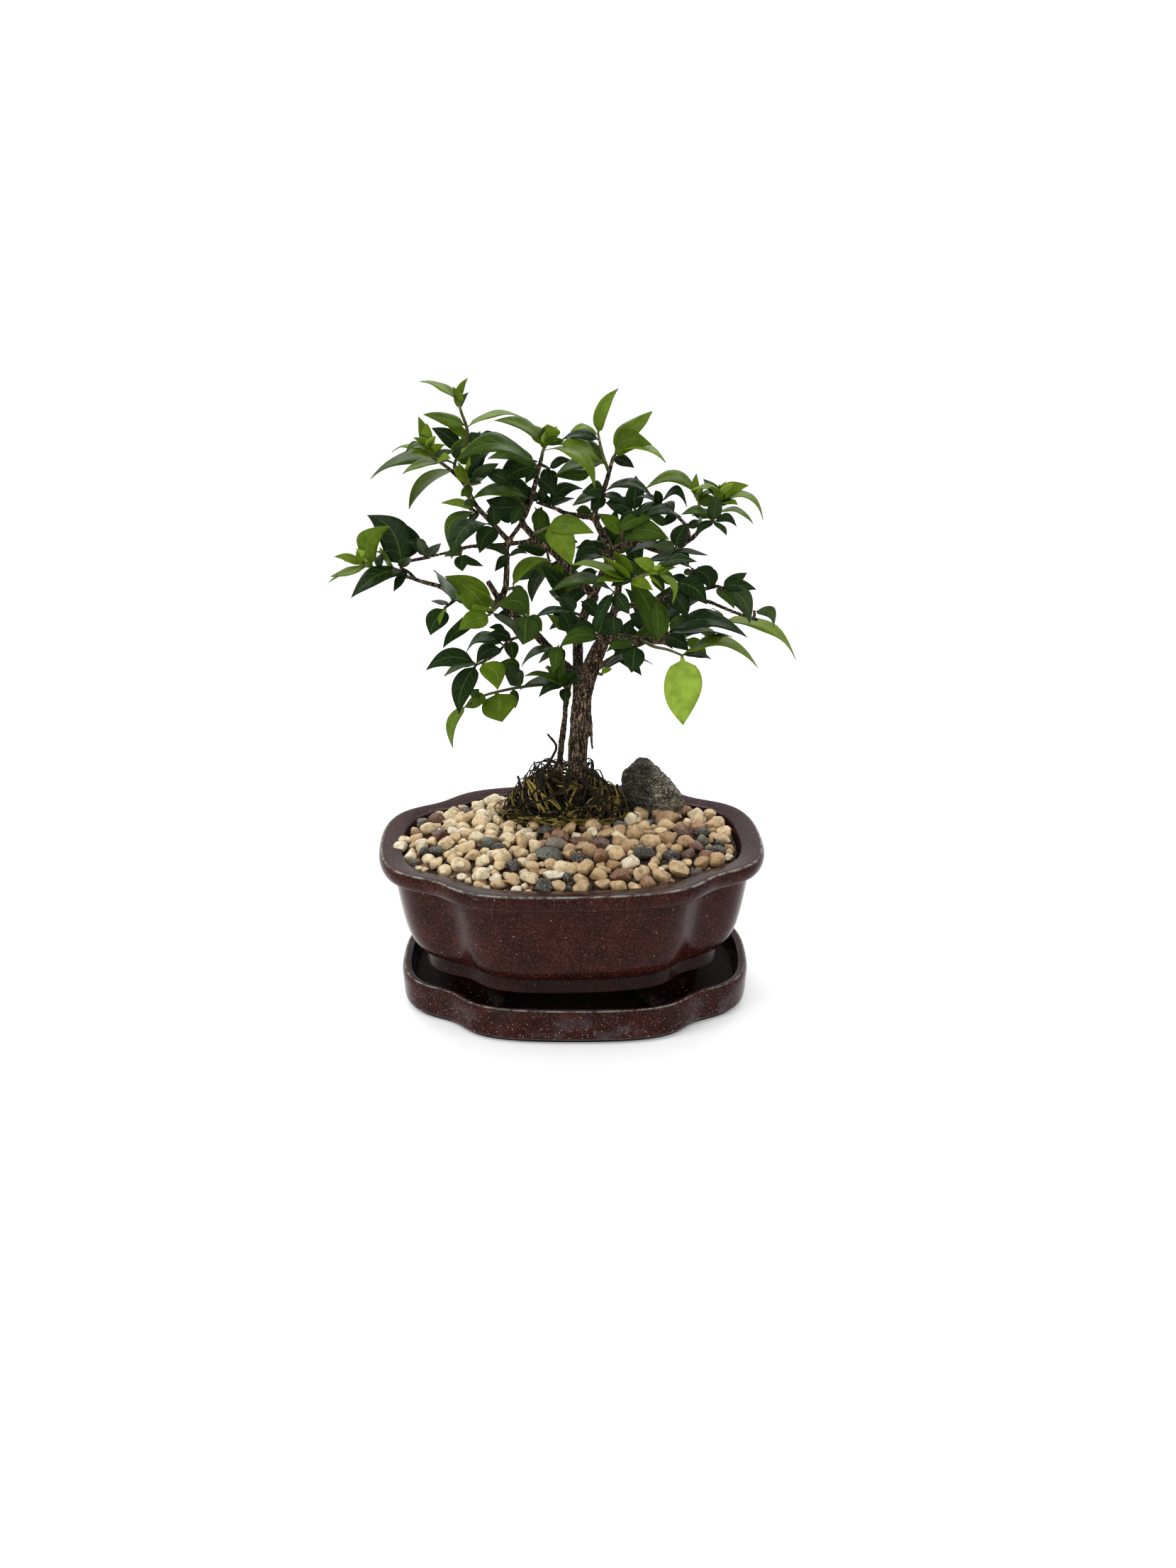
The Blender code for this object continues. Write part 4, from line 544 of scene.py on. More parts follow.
def outline(half_length, half_width, notch, turn, count=RING_POINTS):
    """Points of the lobed outline: a rounded oblong, drawn in at its notches and turned."""
    points = []
    for step in range(count):
        angle = 2 * math.pi * step / count
        cosine, sine = math.cos(angle), math.sin(angle)
        pull = 1 - notch * math.exp(-(corner_distance(angle) / NOTCH_SPREAD) ** 2)
        x = math.copysign(abs(cosine) ** (2 / CORNER), cosine) * half_length * pull
        y = math.copysign(abs(sine) ** (2 / CORNER), sine) * half_width * pull
        points.append((x * math.cos(turn) - y * math.sin(turn),
                       x * math.sin(turn) + y * math.cos(turn)))
    return points


def foot_height(step):
    """The pot's lower edge: down at the four corner feet, arched between them."""
    away = corner_distance(2 * math.pi * step / RING_POINTS)
    share = unit((FOOT_REACH - away) / FOOT_SLOPE)
    return ARCH_TOP + (FOOT_BOTTOM - ARCH_TOP) * share * share * (3 - 2 * share)


def ring(row, turn, shift):
    """The outline of a row at its height, or along the feet where it has none."""
    half_length, half_width, notch, height = row[:4]
    return [(x + shift, y, foot_height(step) if height is None else height)
            for step, (x, y) in enumerate(outline(half_length, half_width, notch, turn))]


# %% Rings eased at their corners, and a piece through rings
def row_between(first, second, share):
    """A row that lies by a share of the way from one row to another."""
    return tuple(a + (b - a) * share for a, b in zip(first, second))


def eased(rows, radius):
    """Each row that turns a corner is flanked by two more, and drawn in a little."""
    result = [rows[0]]
    for before, row, after in zip(rows, rows[1:], rows[2:]):
        if None in (before[3], row[3], after[3]):
            result.append(row)
            continue
        flanks = []
        for other in (before, after):
            reach = math.hypot(other[0] - row[0], other[3] - row[3])
            flanks.append(row_between(row, other, min(0.45, radius / reach)))
        middle = row_between(row_between(flanks[0], flanks[1], 0.5), row, 0.5)
        result += [flanks[0], (*middle[:4], row[4]), flanks[1]]
    return result + [rows[-1]]


def lofted(rings, values=None):
    """A closed piece: a filled circle is extruded once for each ring of points in mm."""
    deselect()
    bpy.ops.mesh.primitive_circle_add(vertices=len(rings[0]), fill_type="NGON")
    piece = bpy.context.object
    bpy.ops.object.mode_set(mode="EDIT")
    bm = bmesh.from_edit_mesh(piece.data)
    step = bm.verts.layers.int.new("step")
    bm.verts.layers.float.new("edge")
    for number, vert in enumerate(bm.verts):
        vert[step] = number
    bpy.ops.mesh.select_all(action="SELECT")
    for number, points in enumerate(rings):
        if number:
            bpy.ops.mesh.extrude_region_move()
        bm = bmesh.from_edit_mesh(piece.data)
        step = bm.verts.layers.int["step"]
        edge = bm.verts.layers.float["edge"]
        for vert in bm.verts:
            if vert.select:
                vert.co = Vector(points[vert[step]]) * MM
                vert[edge] = values[number] if values else 0.0
        bmesh.update_edit_mesh(piece.data)
    bpy.ops.mesh.select_all(action="SELECT")
    bpy.ops.mesh.normals_make_consistent(inside=False)
    bpy.ops.object.mode_set(mode="OBJECT")
    return piece


def glazed_piece(rows, turn, shift, ease):
    """Half length, half width, notch, height and the glaze's thinness for each row.
    Thinness above zero is also a painted highlight, and below zero a painted shade.
    """
    rows = eased(rows, ease)
    return lofted([ring(row, turn, shift) for row in rows], [row[4] for row in rows])


# %% Drip tray
# The last column is the glaze's thinness and also painted light: 1 on the rim's top edge is thin glaze
# and a painted highlight; below zero on the inner wall and floor, pooled glaze and painted shade
TRAY_ROWS = (
    (70.2, 55.2, 0.085, 0.0, 0), (70.4, 55.4, 0.085, 1.6, 0), (72.4, 57.4, 0.085, 1.9, 0.7),
    (72.8, 57.9, 0.085, 3.4, 0), (73.4, 58.5, 0.085, 12.8, 0), (73.0, 58.1, 0.085, 14.2, 0),
    (72.3, 57.4, 0.085, 15.0, 1), (71.3, 56.4, 0.085, 15.0, 0), (69.6, 54.7, 0.085, 14.5, -0.4),
    (67.8, 53.2, 0.085, TRAY_FLOOR, -1), (40.0, 32.0, 0.06, TRAY_FLOOR, -1))
BARE_BELOW = 1.75  # mm; the tray's foot is left unglazed
# Up-facing faces below this height take the darker glaze, which is painted shade on the tray's floor
FLOOR_BELOW = 6.2
GLAZE_EASE = 0.6  # mm, by which corners are eased
GLAZE_CREASE = 40  # degrees
tray = glazed_piece(TRAY_ROWS, 0.0, TRAY_X, GLAZE_EASE)
for material in (glaze, clay, shaded_tray_floor_glaze):
    tray.data.materials.append(material)
# Below BARE_BELOW the foot takes the bare clay, which is darkened as painted shade under the tray
for polygon in tray.data.polygons:
    if polygon.center.z < BARE_BELOW * MM:
        polygon.material_index = 1
    elif polygon.center.z < FLOOR_BELOW * MM and polygon.normal.z > 0.7:
        polygon.material_index = 2
hand_over(tray, "glazed_tray", ["tray"], [], GLAZE_CREASE)

# %% [markdown]
# The pot's belly is drawn finer than the solid one, with rows added on a smooth curve
# between its own, and four corner feet with an arch between each two.

# %% Pot
# Below zero at the feet, the lower belly, under the rim's lip and inside the rim, the glaze is darker:
# pooled glaze and painted shade. 1 on the rim's outer top edge is thin glaze and a painted highlight
FOOT_ROWS = (
    (40.0, 30.0, 0.06, ARCH_TOP, -1), (46.0, 35.0, 0.06, ARCH_TOP, -1),
    (47.0, 36.0, 0.06, None, -1), (56.5, 44.2, 0.08, None, -1), (57.0, 44.7, 0.08, ARCH_TOP, -1),
    (62.6, 50.1, 0.09, ARCH_TOP, -0.7))
BELLY_ROWS = (
    (61.0, 48.6, 0.09, 24.6, -0.8), (66.0, 52.6, 0.10, 27.6, -0.3), (70.0, 56.0, 0.11, 35.5, 0),
    (73.2, 58.8, 0.11, 52.0, 0), (73.4, 58.9, 0.10, 58.6, 0))
RIM_ROWS = (
    (76.6, 61.2, 0.082, 59.6, -0.3), (78.9, 62.8, 0.078, 60.6, 0), (79.9, 63.7, 0.078, 62.6, 0),
    (80.2, 63.9, 0.078, 64.4, 0), (79.8, 63.5, 0.078, 66.0, 0), (79.0, 62.8, 0.078, 67.0, 1),
    (77.8, 61.6, 0.078, 67.1, 0), (70.6, 54.5, 0.078, 66.2, -0.6), (69.4, 53.2, 0.078, 62.0, -0.3),
    (60.0, 46.0, 0.08, 24.0, 0), (30.0, 23.0, 0.04, 24.0, 0))


def row_curve(rows, spans):
    """Rows on a smooth curve through the given ones."""
    places = smooth_route([row[:3] for row in rows], spans)
    heights = smooth_route([(row[3], row[4], 0) for row in rows], spans)
    return [(*place, height[0], height[1]) for place, height in zip(places, heights)]


pot = glazed_piece((*FOOT_ROWS, *row_curve(BELLY_ROWS, 3), *RIM_ROWS), POT_TURN, 0.0, GLAZE_EASE)
hand_over(pot, "glazed_pot", ["pot"], [glaze], GLAZE_CREASE)
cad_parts["soil"].material_slots[0].material = soil

# %% [markdown]
# ## Gravel
# Some hundreds of stones of 3 to 12 mm, and a few larger ones, lie over a bed of grit whose dark colour
# is painted shade between them.
# They are broken stone that a river has rounded off, so each shape starts from a ball that is
# bisected by planes from all sides, remeshed, smoothed and thinned to few faces. The copies
# are turned at random and dropped largest first, where there is still room between those that
# lie already: first a lower layer that fills the gaps, then the one that is seen.

# %% Pebble shapes
PEBBLE_SHAPES = 9
PEBBLE_CUTS = 9
CUT_DEPTHS = (0.58, 0.86)  # how far from the ball's middle it is cut, by its radius
PEBBLE_VOXEL = 0.1  # by the ball's radius
PEBBLE_FACES = 110
SHAPE_RNG = random.Random(12)


def any_direction(rng):
    """A direction drawn evenly from all round."""
    return Vector([rng.gauss(0, 1) for _ in range(3)]).normalized()


pebble_shapes = []
for number in range(PEBBLE_SHAPES):
    deselect()
    bpy.ops.mesh.primitive_ico_sphere_add(subdivisions=3, radius=1.0)
    ball = bpy.context.object
    bpy.ops.object.mode_set(mode="EDIT")
    for _ in range(PEBBLE_CUTS):
        away = any_direction(SHAPE_RNG)
        bpy.ops.mesh.select_all(action="SELECT")
        bpy.ops.mesh.bisect(plane_co=away * SHAPE_RNG.uniform(*CUT_DEPTHS), plane_no=away,
                            use_fill=True, clear_outer=True)
    bpy.ops.object.mode_set(mode="OBJECT")
    apply_modifier(ball, "REMESH", (("mode", "VOXEL"), ("voxel_size", PEBBLE_VOXEL)))
    apply_modifier(ball, "SMOOTH", (("factor", 0.6), ("iterations", 3)))
    apply_modifier(ball, "DECIMATE", (("ratio", PEBBLE_FACES / (2 * len(ball.data.polygons))),))
    reach = max(vertex.co.length for vertex in ball.data.vertices)
    pebble_shapes.append(([vertex.co / reach for vertex in ball.data.vertices],
                          [tuple(polygon.vertices) for polygon in ball.data.polygons]))
    bpy.data.objects.remove(ball, do_unlink=True)
print("faces of a pebble:", [len(faces) for _, faces in pebble_shapes])

# %% Level of the gravel, and what stands on it
BED_SIZE = (69.0, 52.9, 0.08)
BED_EDGE = (62.4, 65.4)  # in front, and at the sides and the back
BED_TOP = 67.5
BED_TAPER = 0.974
MOSS_MIDDLE = (-2.5, 23.0)
MOSS_SIZE = (27.5, 15.5, 20.0)
MOSS_SLOPE = 1.6
ROCK_MIDDLE = (36.0, 31.0)
ROCK_SIZE = (13.2, 7.4, 23.0)


def bed_share(x, y):
    """0 in the middle of the bed, 1 at its edge."""
    return (abs(x / BED_SIZE[0]) ** CORNER + abs(y / BED_SIZE[1]) ** CORNER) ** (1 / CORNER)


def bed_height(x, y):
    """Level of the gravel: lower at its edge, and lowest at its edge in front."""
    back = unit((y / BED_SIZE[1] + 0.75) / 0.6)
    edge = BED_EDGE[0] + (BED_EDGE[1] - BED_EDGE[0]) * back
    return edge + (BED_TOP - edge) * (1 - min(1.0, bed_share(x, y)) ** 3)


def oval_share(middle, size, x, y):
    """0 in the middle of an oval of that half size, 1 at its edge."""
    return math.hypot((x - middle[0]) / size[0], (y - middle[1]) / size[1])


moss_share = partial(oval_share, MOSS_MIDDLE, MOSS_SIZE)
rock_share = partial(oval_share, ROCK_MIDDLE, ROCK_SIZE)


# %% Bed of grit
GRIT_BOTTOM = 56.0
GRIT_DROP = 1.6  # mm under the level of the gravel
GRIT_POINTS = 80
GRIT_ROWS = ((BED_TAPER, None), (0.998, 2.0), (0.93, GRIT_DROP), (0.8, GRIT_DROP),
             (0.6, GRIT_DROP), (0.35, GRIT_DROP), (0.1, GRIT_DROP))
grit_rings = []
for share, drop in GRIT_ROWS:
    edge = outline(BED_SIZE[0] * share, BED_SIZE[1] * share, BED_SIZE[2], POT_TURN, GRIT_POINTS)
    grit_rings.append([(x, y, GRIT_BOTTOM if drop is None else bed_height(x, y) - drop)
                       for x, y in edge])
# The grit's dark colour is painted shade where it shows between the pebbles
grit = lofted(grit_rings)
hand_over(grit, "grit_bed_in_painted_shade", ["gravel"], [grit_in_painted_shade])

# %% Where a pebble has room
STONE_RNG = random.Random(31)
EDGE_LIMIT = 1.005  # how near the bed's edge a pebble's middle may come,
EDGE_REACH = 0.7  # less this share of its radius,
NOTCH_PULL = 0.075  # less this beside a notch,
FRONT_PULL = 0.02  # and less this in front
FRONT_Y = -30
MOSS_CLEAR = 0.82
ROCK_CLEAR = 0.8
SIZE_SPREAD = (0.85, 1.12)
LENGTH_BY_WIDTH = (1.0, 1.5)
# Single stones that stand out: x, y, half length, half width, turn in degrees and tone
FEATURE_STONES = (
    (-8.6, -23.0, 7.6, 5.4, 8, 0.17), (3.2, -25.5, 3.4, 3.0, 0, 0.03),
    (30.0, -21.0, 5.8, 3.6, 12, 0.06), (11.5, -11.0, 5.6, 3.6, -10, 0.34),
    (12.0, -24.0, 3.6, 5.6, 5, 0.41), (19.0, -22.5, 4.4, 4.6, 20, 0.68),
    (-55.0, -15.0, 4.2, 3.4, 0, 0.08), (-29.5, -15.0, 4.0, 3.2, -15, 0.05),
    (-23.0, -33.0, 3.0, 4.8, 10, 0.06), (41.0, -21.0, 4.2, 3.2, 0, 0.07),
    (48.0, -19.0, 4.0, 3.4, 15, 0.33), (60.0, -14.0, 4.0, 3.2, 0, 0.08),
    (55.0, 4.0, 4.0, 3.0, 0, 0.04), (47.0, 4.0, 5.0, 3.8, 0, 0.34),
    (-7.0, -12.0, 5.6, 4.4, 0, 0.27), (-7.0, -38.5, 5.0, 2.8, 4, 0.98),
    (28.5, -37.5, 3.2, 5.0, -32, 0.72), (20.0, -39.5, 4.8, 3.8, 8, 0.40),
    (-16.0, -41.0, 4.4, 3.4, 0, 0.86), (-2.0, -34.0, 5.4, 3.6, -5, 0.8),
    (8.0, -19.0, 2.6, 4.6, 50, 0.52), (-44.0, -30.0, 4.6, 4.0, 20, 0.84),
    (-36.0, -37.0, 4.4, 3.6, 0, 0.9), (24.0, -30.0, 4.0, 4.4, 0, 0.93),
    (-70.6, -9.0, 4.2, 3.2, 80, 0.95), (-70.2, -1.0, 3.4, 2.8, 0, 0.86),
    (-66.0, -17.5, 3.4, 3.0, 0, 0.9), (-52.0, 12.0, 4.6, 3.6, 0, 0.88),
    (-28.0, -24.0, 4.4, 5.0, 0, 0.8), (-20.0, -10.0, 3.6, 5.0, 15, 0.66))
PALE_LEFT_OF = -14.0  # mm; left of it the stones are paler, and fewer are odd
LEFT_TONES = (0.66, 0.7, 0.74, 0.78, 0.82, 0.86, 0.9, 0.96)
RIGHT_TONES = (0.43, 0.46, 0.5, 0.52, 0.56, 0.6, 0.64, 0.68, 0.74, 0.9)
ODD_TONES = (0.03, 0.08, 0.16, 0.24, 0.33, 0.36, 0.41, 0.44)
ODD_LEFT = 0.08
ODD_RIGHT = 0.27
TONE_SPREAD = 0.03


def pebble_notch(x, y):
    """1 in the direction of a notch of the rim, 0 away from it."""
    angle = math.atan2(y / BED_SIZE[1], x / BED_SIZE[0]) - POT_TURN
    return math.exp(-(corner_distance(angle) / NOTCH_SPREAD) ** 2)


def free(x, y, radius, placed, crowding):
    """True where a pebble of that radius has room on the bed."""
    limit = (EDGE_LIMIT - EDGE_REACH * radius / BED_SIZE[1] - NOTCH_PULL * pebble_notch(x, y)
             - FRONT_PULL * (y < FRONT_Y))
    if bed_share(x, y) > limit or moss_share(x, y) < MOSS_CLEAR or rock_share(x, y) < ROCK_CLEAR:
        return False
    return all(math.hypot(x - other[0], y - other[1]) > crowding * (radius + other[2])
               for other in placed)


def dropped(sizes, crowding, placed):
    """Adds pebbles of each size in turn: x, y, radius, length by width, turn and tone."""
    for size, tries in sizes:
        for _ in range(tries):
            x = STONE_RNG.uniform(-BED_SIZE[0], BED_SIZE[0])
            y = STONE_RNG.uniform(-BED_SIZE[1], BED_SIZE[1])
            radius = size * STONE_RNG.uniform(*SIZE_SPREAD)
            if free(x, y, radius, placed, crowding):
                odd, tones = (ODD_LEFT, LEFT_TONES) if x < PALE_LEFT_OF else (ODD_RIGHT, RIGHT_TONES)
                tone = STONE_RNG.choice(ODD_TONES if STONE_RNG.random() < odd else tones)
                placed.append((x, y, radius, STONE_RNG.uniform(*LENGTH_BY_WIDTH),
                               STONE_RNG.uniform(0, math.pi),
                               tone + STONE_RNG.uniform(-TONE_SPREAD, TONE_SPREAD)))
    return placed


# %% Pebbles dropped largest first, in two layers
LOW_SIZES = ((3.3, 1000), (2.6, 2000))  # radius in mm, and how many are tried
TOP_SIZES = ((4.4, 60), (3.8, 500), (3.2, 1400), (2.7, 2600), (2.1, 4500))
LOW_CROWDING = 0.76  # least distance of two pebbles, by the sum of their radii
TOP_CROWDING = 0.79
LAYER_DROP = 3.0
LOW_LAYER_SHADE = 0.55  # painted shade: the lower stones are darkened as if shaded by those above them
FLATNESS = (0.72, 0.95)  # height by width
HIGHEST = 3.6
TILT = 0.3
STAND = 0.7  # by its height, how far a pebble's middle is up
SINK = 1.4
PEBBLE_CREASE = 33  # degrees; sharper edges between facets stay crisp


def add_shape(verts, faces, points, shape_faces):
    """Adds the points and the faces of one shape to those of a piece."""
    faces.extend([tuple(len(verts) + corner for corner in face) for face in shape_faces])
    verts.extend(points)


features = [(x, y, math.sqrt(long * wide), long / wide, math.radians(turn), tone)
            for x, y, long, wide, turn, tone in FEATURE_STONES]
# The lower layer's tones are darkened as painted shade in the gaps under the top stones
layers = ((LAYER_DROP, LOW_LAYER_SHADE, dropped(LOW_SIZES, LOW_CROWDING, [])),
          (0.0, 1.0, dropped(TOP_SIZES, TOP_CROWDING, features)))
verts, faces, tones = [], [], []
for drop, shade, placed in layers:
    for number, (x, y, radius, ratio, turn, tone) in enumerate(placed):
        shape, shape_faces = pebble_shapes[number % PEBBLE_SHAPES]
        long, wide = radius * math.sqrt(ratio), radius / math.sqrt(ratio)
        high = min(wide * STONE_RNG.uniform(*FLATNESS), HIGHEST)
        spin = Euler([STONE_RNG.uniform(0, 2 * math.pi) for _ in range(3)]).to_matrix()
        tilt = Euler([*(STONE_RNG.uniform(-TILT, TILT) for _ in range(2)), turn]).to_matrix()
        middle = Vector((x, y, bed_height(x, y) - SINK + high * STAND - drop))
        spun = [spin @ point for point in shape]
        add_shape(verts, faces, [middle + tilt @ Vector((point.x * long, point.y * wide,
                                                         point.z * high)) for point in spun],
                  shape_faces)
        tones += [unit(tone * shade)] * len(shape)
pebbles = mesh_piece("pebbles", verts, faces)
set_attribute(pebbles, "tone", tones)
hand_over(pebbles, "pebbles", ["gravel"], [pebble], PEBBLE_CREASE)
print([len(placed) for _, _, placed in layers], "pebbles")

# %% [markdown]
# ## Grey stone
# It is a split piece of limestone: steep on its left, rounded on top and sloping off to the
# right, with cracks that run down that slope. A ball is squashed to its size, bisected by a
# few planes as if it had been split along them, and remeshed so that the cracks can be
# pressed into an even net.

# %% Stone
ROCK_LEAN = -6.5
ROCK_BALL = (1.06, 1.06, 1.13)  # the ball is a little larger, to be cut back
ROCK_CUTS = (  # a point on each plane and its outward direction, mm
    ((21.9, 31.0, 80.0), (-1.0, -0.1, 0.12)), ((25.1, 31.0, 85.4), (-1.33, -0.3, 1.0)),
    ((31.0, 31.0, 89.2), (-0.05, -0.2, 1.0)), ((40.5, 31.0, 81.6), (1.15, -0.25, 1.0)),
    ((42.0, 25.2, 76.0), (0.35, -1.0, 0.45)), ((33.0, 24.6, 76.0), (-0.3, -1.0, 0.3)),
    ((48.5, 31.0, 73.0), (1.0, 0.2, 0.6)))
STONE_VOXEL = 0.42
STONE_RELIEF = 0.55
CRACK_PITCH = 5.2  # mm from crack to crack
CRACK_WIDTH = 0.16  # by that distance
CRACK_DEEP = 0.75
deselect()
bpy.ops.mesh.primitive_uv_sphere_add(segments=48, ring_count=32, radius=1.0)
stone = bpy.context.object
for vertex in stone.data.vertices:
    rise = max(0.0, vertex.co.z)
    x = vertex.co.x * ROCK_SIZE[0] * ROCK_BALL[0] + ROCK_MIDDLE[0] + ROCK_LEAN * rise
    y = vertex.co.y * ROCK_SIZE[1] * ROCK_BALL[1] + ROCK_MIDDLE[1]
    vertex.co = Vector((x, y, max(-3.0, vertex.co.z * ROCK_SIZE[2] * ROCK_BALL[2]) + BED_TOP)) * MM
bpy.ops.object.mode_set(mode="EDIT")
for point, away in ROCK_CUTS:
    bpy.ops.mesh.select_all(action="SELECT")
    bpy.ops.mesh.bisect(plane_co=Vector(point) * MM, plane_no=Vector(away), use_fill=True,
                        clear_outer=True, threshold=0.0001 * MM)
bpy.ops.object.mode_set(mode="OBJECT")
apply_modifier(stone, "REMESH", (("mode", "VOXEL"), ("voxel_size", STONE_VOXEL * MM)))
apply_modifier(stone, "SMOOTH", (("factor", 0.6), ("iterations", 3)))


def crack_depth(place):
    """0 to 1, narrow bands that run down to the right, bent by noise."""
    bend = noise.noise(place / 4.0) * 2.2
    across = place.x * 0.62 + place.z * 0.78 + bend
    band = abs((across / CRACK_PITCH) % 1.0 - 0.5) * 2
    fine = abs(noise.noise(place / 2.1))
    return max(0.0, 1 - band / CRACK_WIDTH) * (0.4 + fine) + max(0.0, 1 - fine / 0.05) * 0.5


cracks = [min(1.0, crack_depth(vertex.co / MM)) for vertex in stone.data.vertices]
push_out(stone, lambda place: (STONE_RELIEF * noise.fractal(place / 3.0, 0.9, 2.0, 5)
                               - CRACK_DEEP * min(1.0, crack_depth(place))))
set_attribute(stone, "crack", cracks)
hand_over(stone, "limestone_piece", ["rock"], [limestone])

# %% [markdown]
# ## Moss and fine roots
# Round the foot of the trunk lies a loose heap of dry roots and moss, shaped like a low cone.
# A dark mound fills it, made from a grid that is laid on the cone. Over it wander some
# hundreds of strands, bevelled curves that follow the heap and lift off it here and there.

# %% Mound
MOUND_NOISE = 2.0
MOUND_SPREAD = 1.02
MOUND_SINK = 1.8  # mm, so that the strands hide it
deselect()
bpy.ops.mesh.primitive_grid_add(x_subdivisions=72, y_subdivisions=48, size=2.0)
mound = bpy.context.object
for vertex in mound.data.vertices:
    u, v = vertex.co.x, vertex.co.y
    x = u * math.sqrt(1 - v * v / 2) * MOSS_SIZE[0] * MOUND_SPREAD + MOSS_MIDDLE[0]
    y = v * math.sqrt(1 - u * u / 2) * MOSS_SIZE[1] * MOUND_SPREAD + MOSS_MIDDLE[1]
    bumps = MOUND_NOISE * noise.fractal(Vector((x, y, 0)) / 3.5, 0.8, 2.0, 4)
    cone = BED_TOP + MOSS_SIZE[2] * max(0.0, 1 - moss_share(x, y) ** MOSS_SLOPE)
    vertex.co = Vector((x, y, cone - MOUND_SINK + bumps)) * MM
bpy.ops.object.mode_set(mode="EDIT")
bpy.ops.mesh.select_all(action="SELECT")
bpy.ops.mesh.region_to_loop()
bpy.ops.mesh.extrude_edges_move(TRANSFORM_OT_translate={"value": (0, 0, -5 * MM)})
bpy.ops.mesh.edge_face_add()
bpy.ops.mesh.select_all(action="SELECT")
bpy.ops.mesh.normals_make_consistent(inside=False)
bpy.ops.object.mode_set(mode="OBJECT")
set_attribute(mound, "tone", [0.1 + 0.25 * noise.noise(vertex.co / MM / 5.0)
                              for vertex in mound.data.vertices])
hand_over(mound, "moss_mound", ["moss"], [root])

# %% Strands
TRUNK_PLANE = 18.0
STRAND_STEP = 1.8
STRAND_TAPER = 0.5
HEAP_HEIGHT = 20.5
HEAP_SLOPE = 2.5
HEAP_EDGE = 1.8  # mm above the gravel, where the heap runs out over it
ROUND_PULL = 0.32  # how strongly a strand is led round the heap,
BACK_PULL = 0.5  # and back to it from outside
SHORT_STRAND = 18.0  # mm; longer strands curl in wider loops
MOSS_RNG = random.Random(57)


def heap_height(x, y):
    """The heap's loose outer side, steeper at its edge than the mound within it."""
    share = min(1.0, moss_share(x, y))
    return max(BED_TOP + HEAP_HEIGHT * (1 - share ** HEAP_SLOPE), bed_height(x, y) + HEAP_EDGE)


def strand(length, radius, lift, spread, sunk):
    """A curling route over the heap, in mm, with its radii."""
    turn = MOSS_RNG.uniform(0, 2 * math.pi)
    out = spread * math.sqrt(MOSS_RNG.uniform(0.02, 1.0))
    x = MOSS_MIDDLE[0] + MOSS_SIZE[0] * out * math.cos(turn)
    y = MOSS_MIDDLE[1] + MOSS_SIZE[1] * out * math.sin(turn)
    way = math.pi * MOSS_RNG.choice((0.5, 1.5))
    heading = turn + way + MOSS_RNG.uniform(-0.8, 0.8)
    curl = MOSS_RNG.uniform(-0.4, 0.4) * min(1.0, SHORT_STRAND / length)
    steps = max(5, round(length / STRAND_STEP))
    arch = lift * MOSS_RNG.uniform(0.1, 1.0) ** 1.6
    depth = MOSS_RNG.uniform(0.0, 1.0) ** 2 * sunk
    points = []
    for step in range(steps + 1):
        share = step / steps
        rise = arch * math.sin(math.pi * share) + MOSS_RNG.uniform(-0.3, 0.4)
        points.append(Vector((x, y, heap_height(x, y) - depth + rise)))
        heading += curl + MOSS_RNG.uniform(-0.25, 0.25)
        outward = math.atan2(y - MOSS_MIDDLE[1], x - MOSS_MIDDLE[0])
        heading += ROUND_PULL * math.sin(outward + way - heading)
        if moss_share(x, y) > 1.0:
            heading -= BACK_PULL * math.sin(outward - heading)
        across, away = STRAND_STEP * math.cos(heading), STRAND_STEP * math.sin(heading)
        climb = heap_height(x + across, y + away) - heap_height(x, y)
        shortened = STRAND_STEP / math.hypot(STRAND_STEP, climb)
        x += across * shortened
        y += away * shortened
    return points, [radius * (1 - STRAND_TAPER * step / steps) for step in range(steps + 1)]


def strand_piece(name, count, length, radius, lift, spread, sunk, tone, material):
    """Many strands in one mesh; each has its own tone, about the given one."""
    routes, tones = [], []
    for _ in range(count):
        reach, radius_here = MOSS_RNG.uniform(*length), MOSS_RNG.uniform(*radius)
        routes.append(strand(reach, radius_here, lift, spread, sunk))
        tones.append(unit(tone + MOSS_RNG.uniform(-0.3, 0.3)))
    piece = tubes(name, routes, 0)
    centres = [points[len(points) // 2] for points, _ in routes]
    values = []
    near = 0
    for vertex in piece.data.vertices:
        place = vertex.co / MM
        if (place - centres[near]).length > length[1] / 2:
            near = min(range(len(centres)), key=lambda one: (place - centres[one]).length_squared)
        values.append(tones[near])
    set_attribute(piece, "tone", values)
    hand_over(piece, name, ["moss"], [material])


# Name, count, lengths, radii and lift in mm, spread by the size of the heap, depth in mm,
# tone and material
strand_piece("dark_root_strands", 200, (12, 36), (0.3, 0.5), 8.0, 1.03, 4.0, 0.3, root)
strand_piece("moss_strands", 120, (10, 28), (0.28, 0.5), 6.0, 1.08, 2.5, 0.55, moss)
# These pale strands on top are dry moss, paled further as a painted highlight
strand_piece("pale_moss_strands", 50, (22, 60), (0.48, 0.76), 3.5, 0.98, 0.6, 0.82, moss)

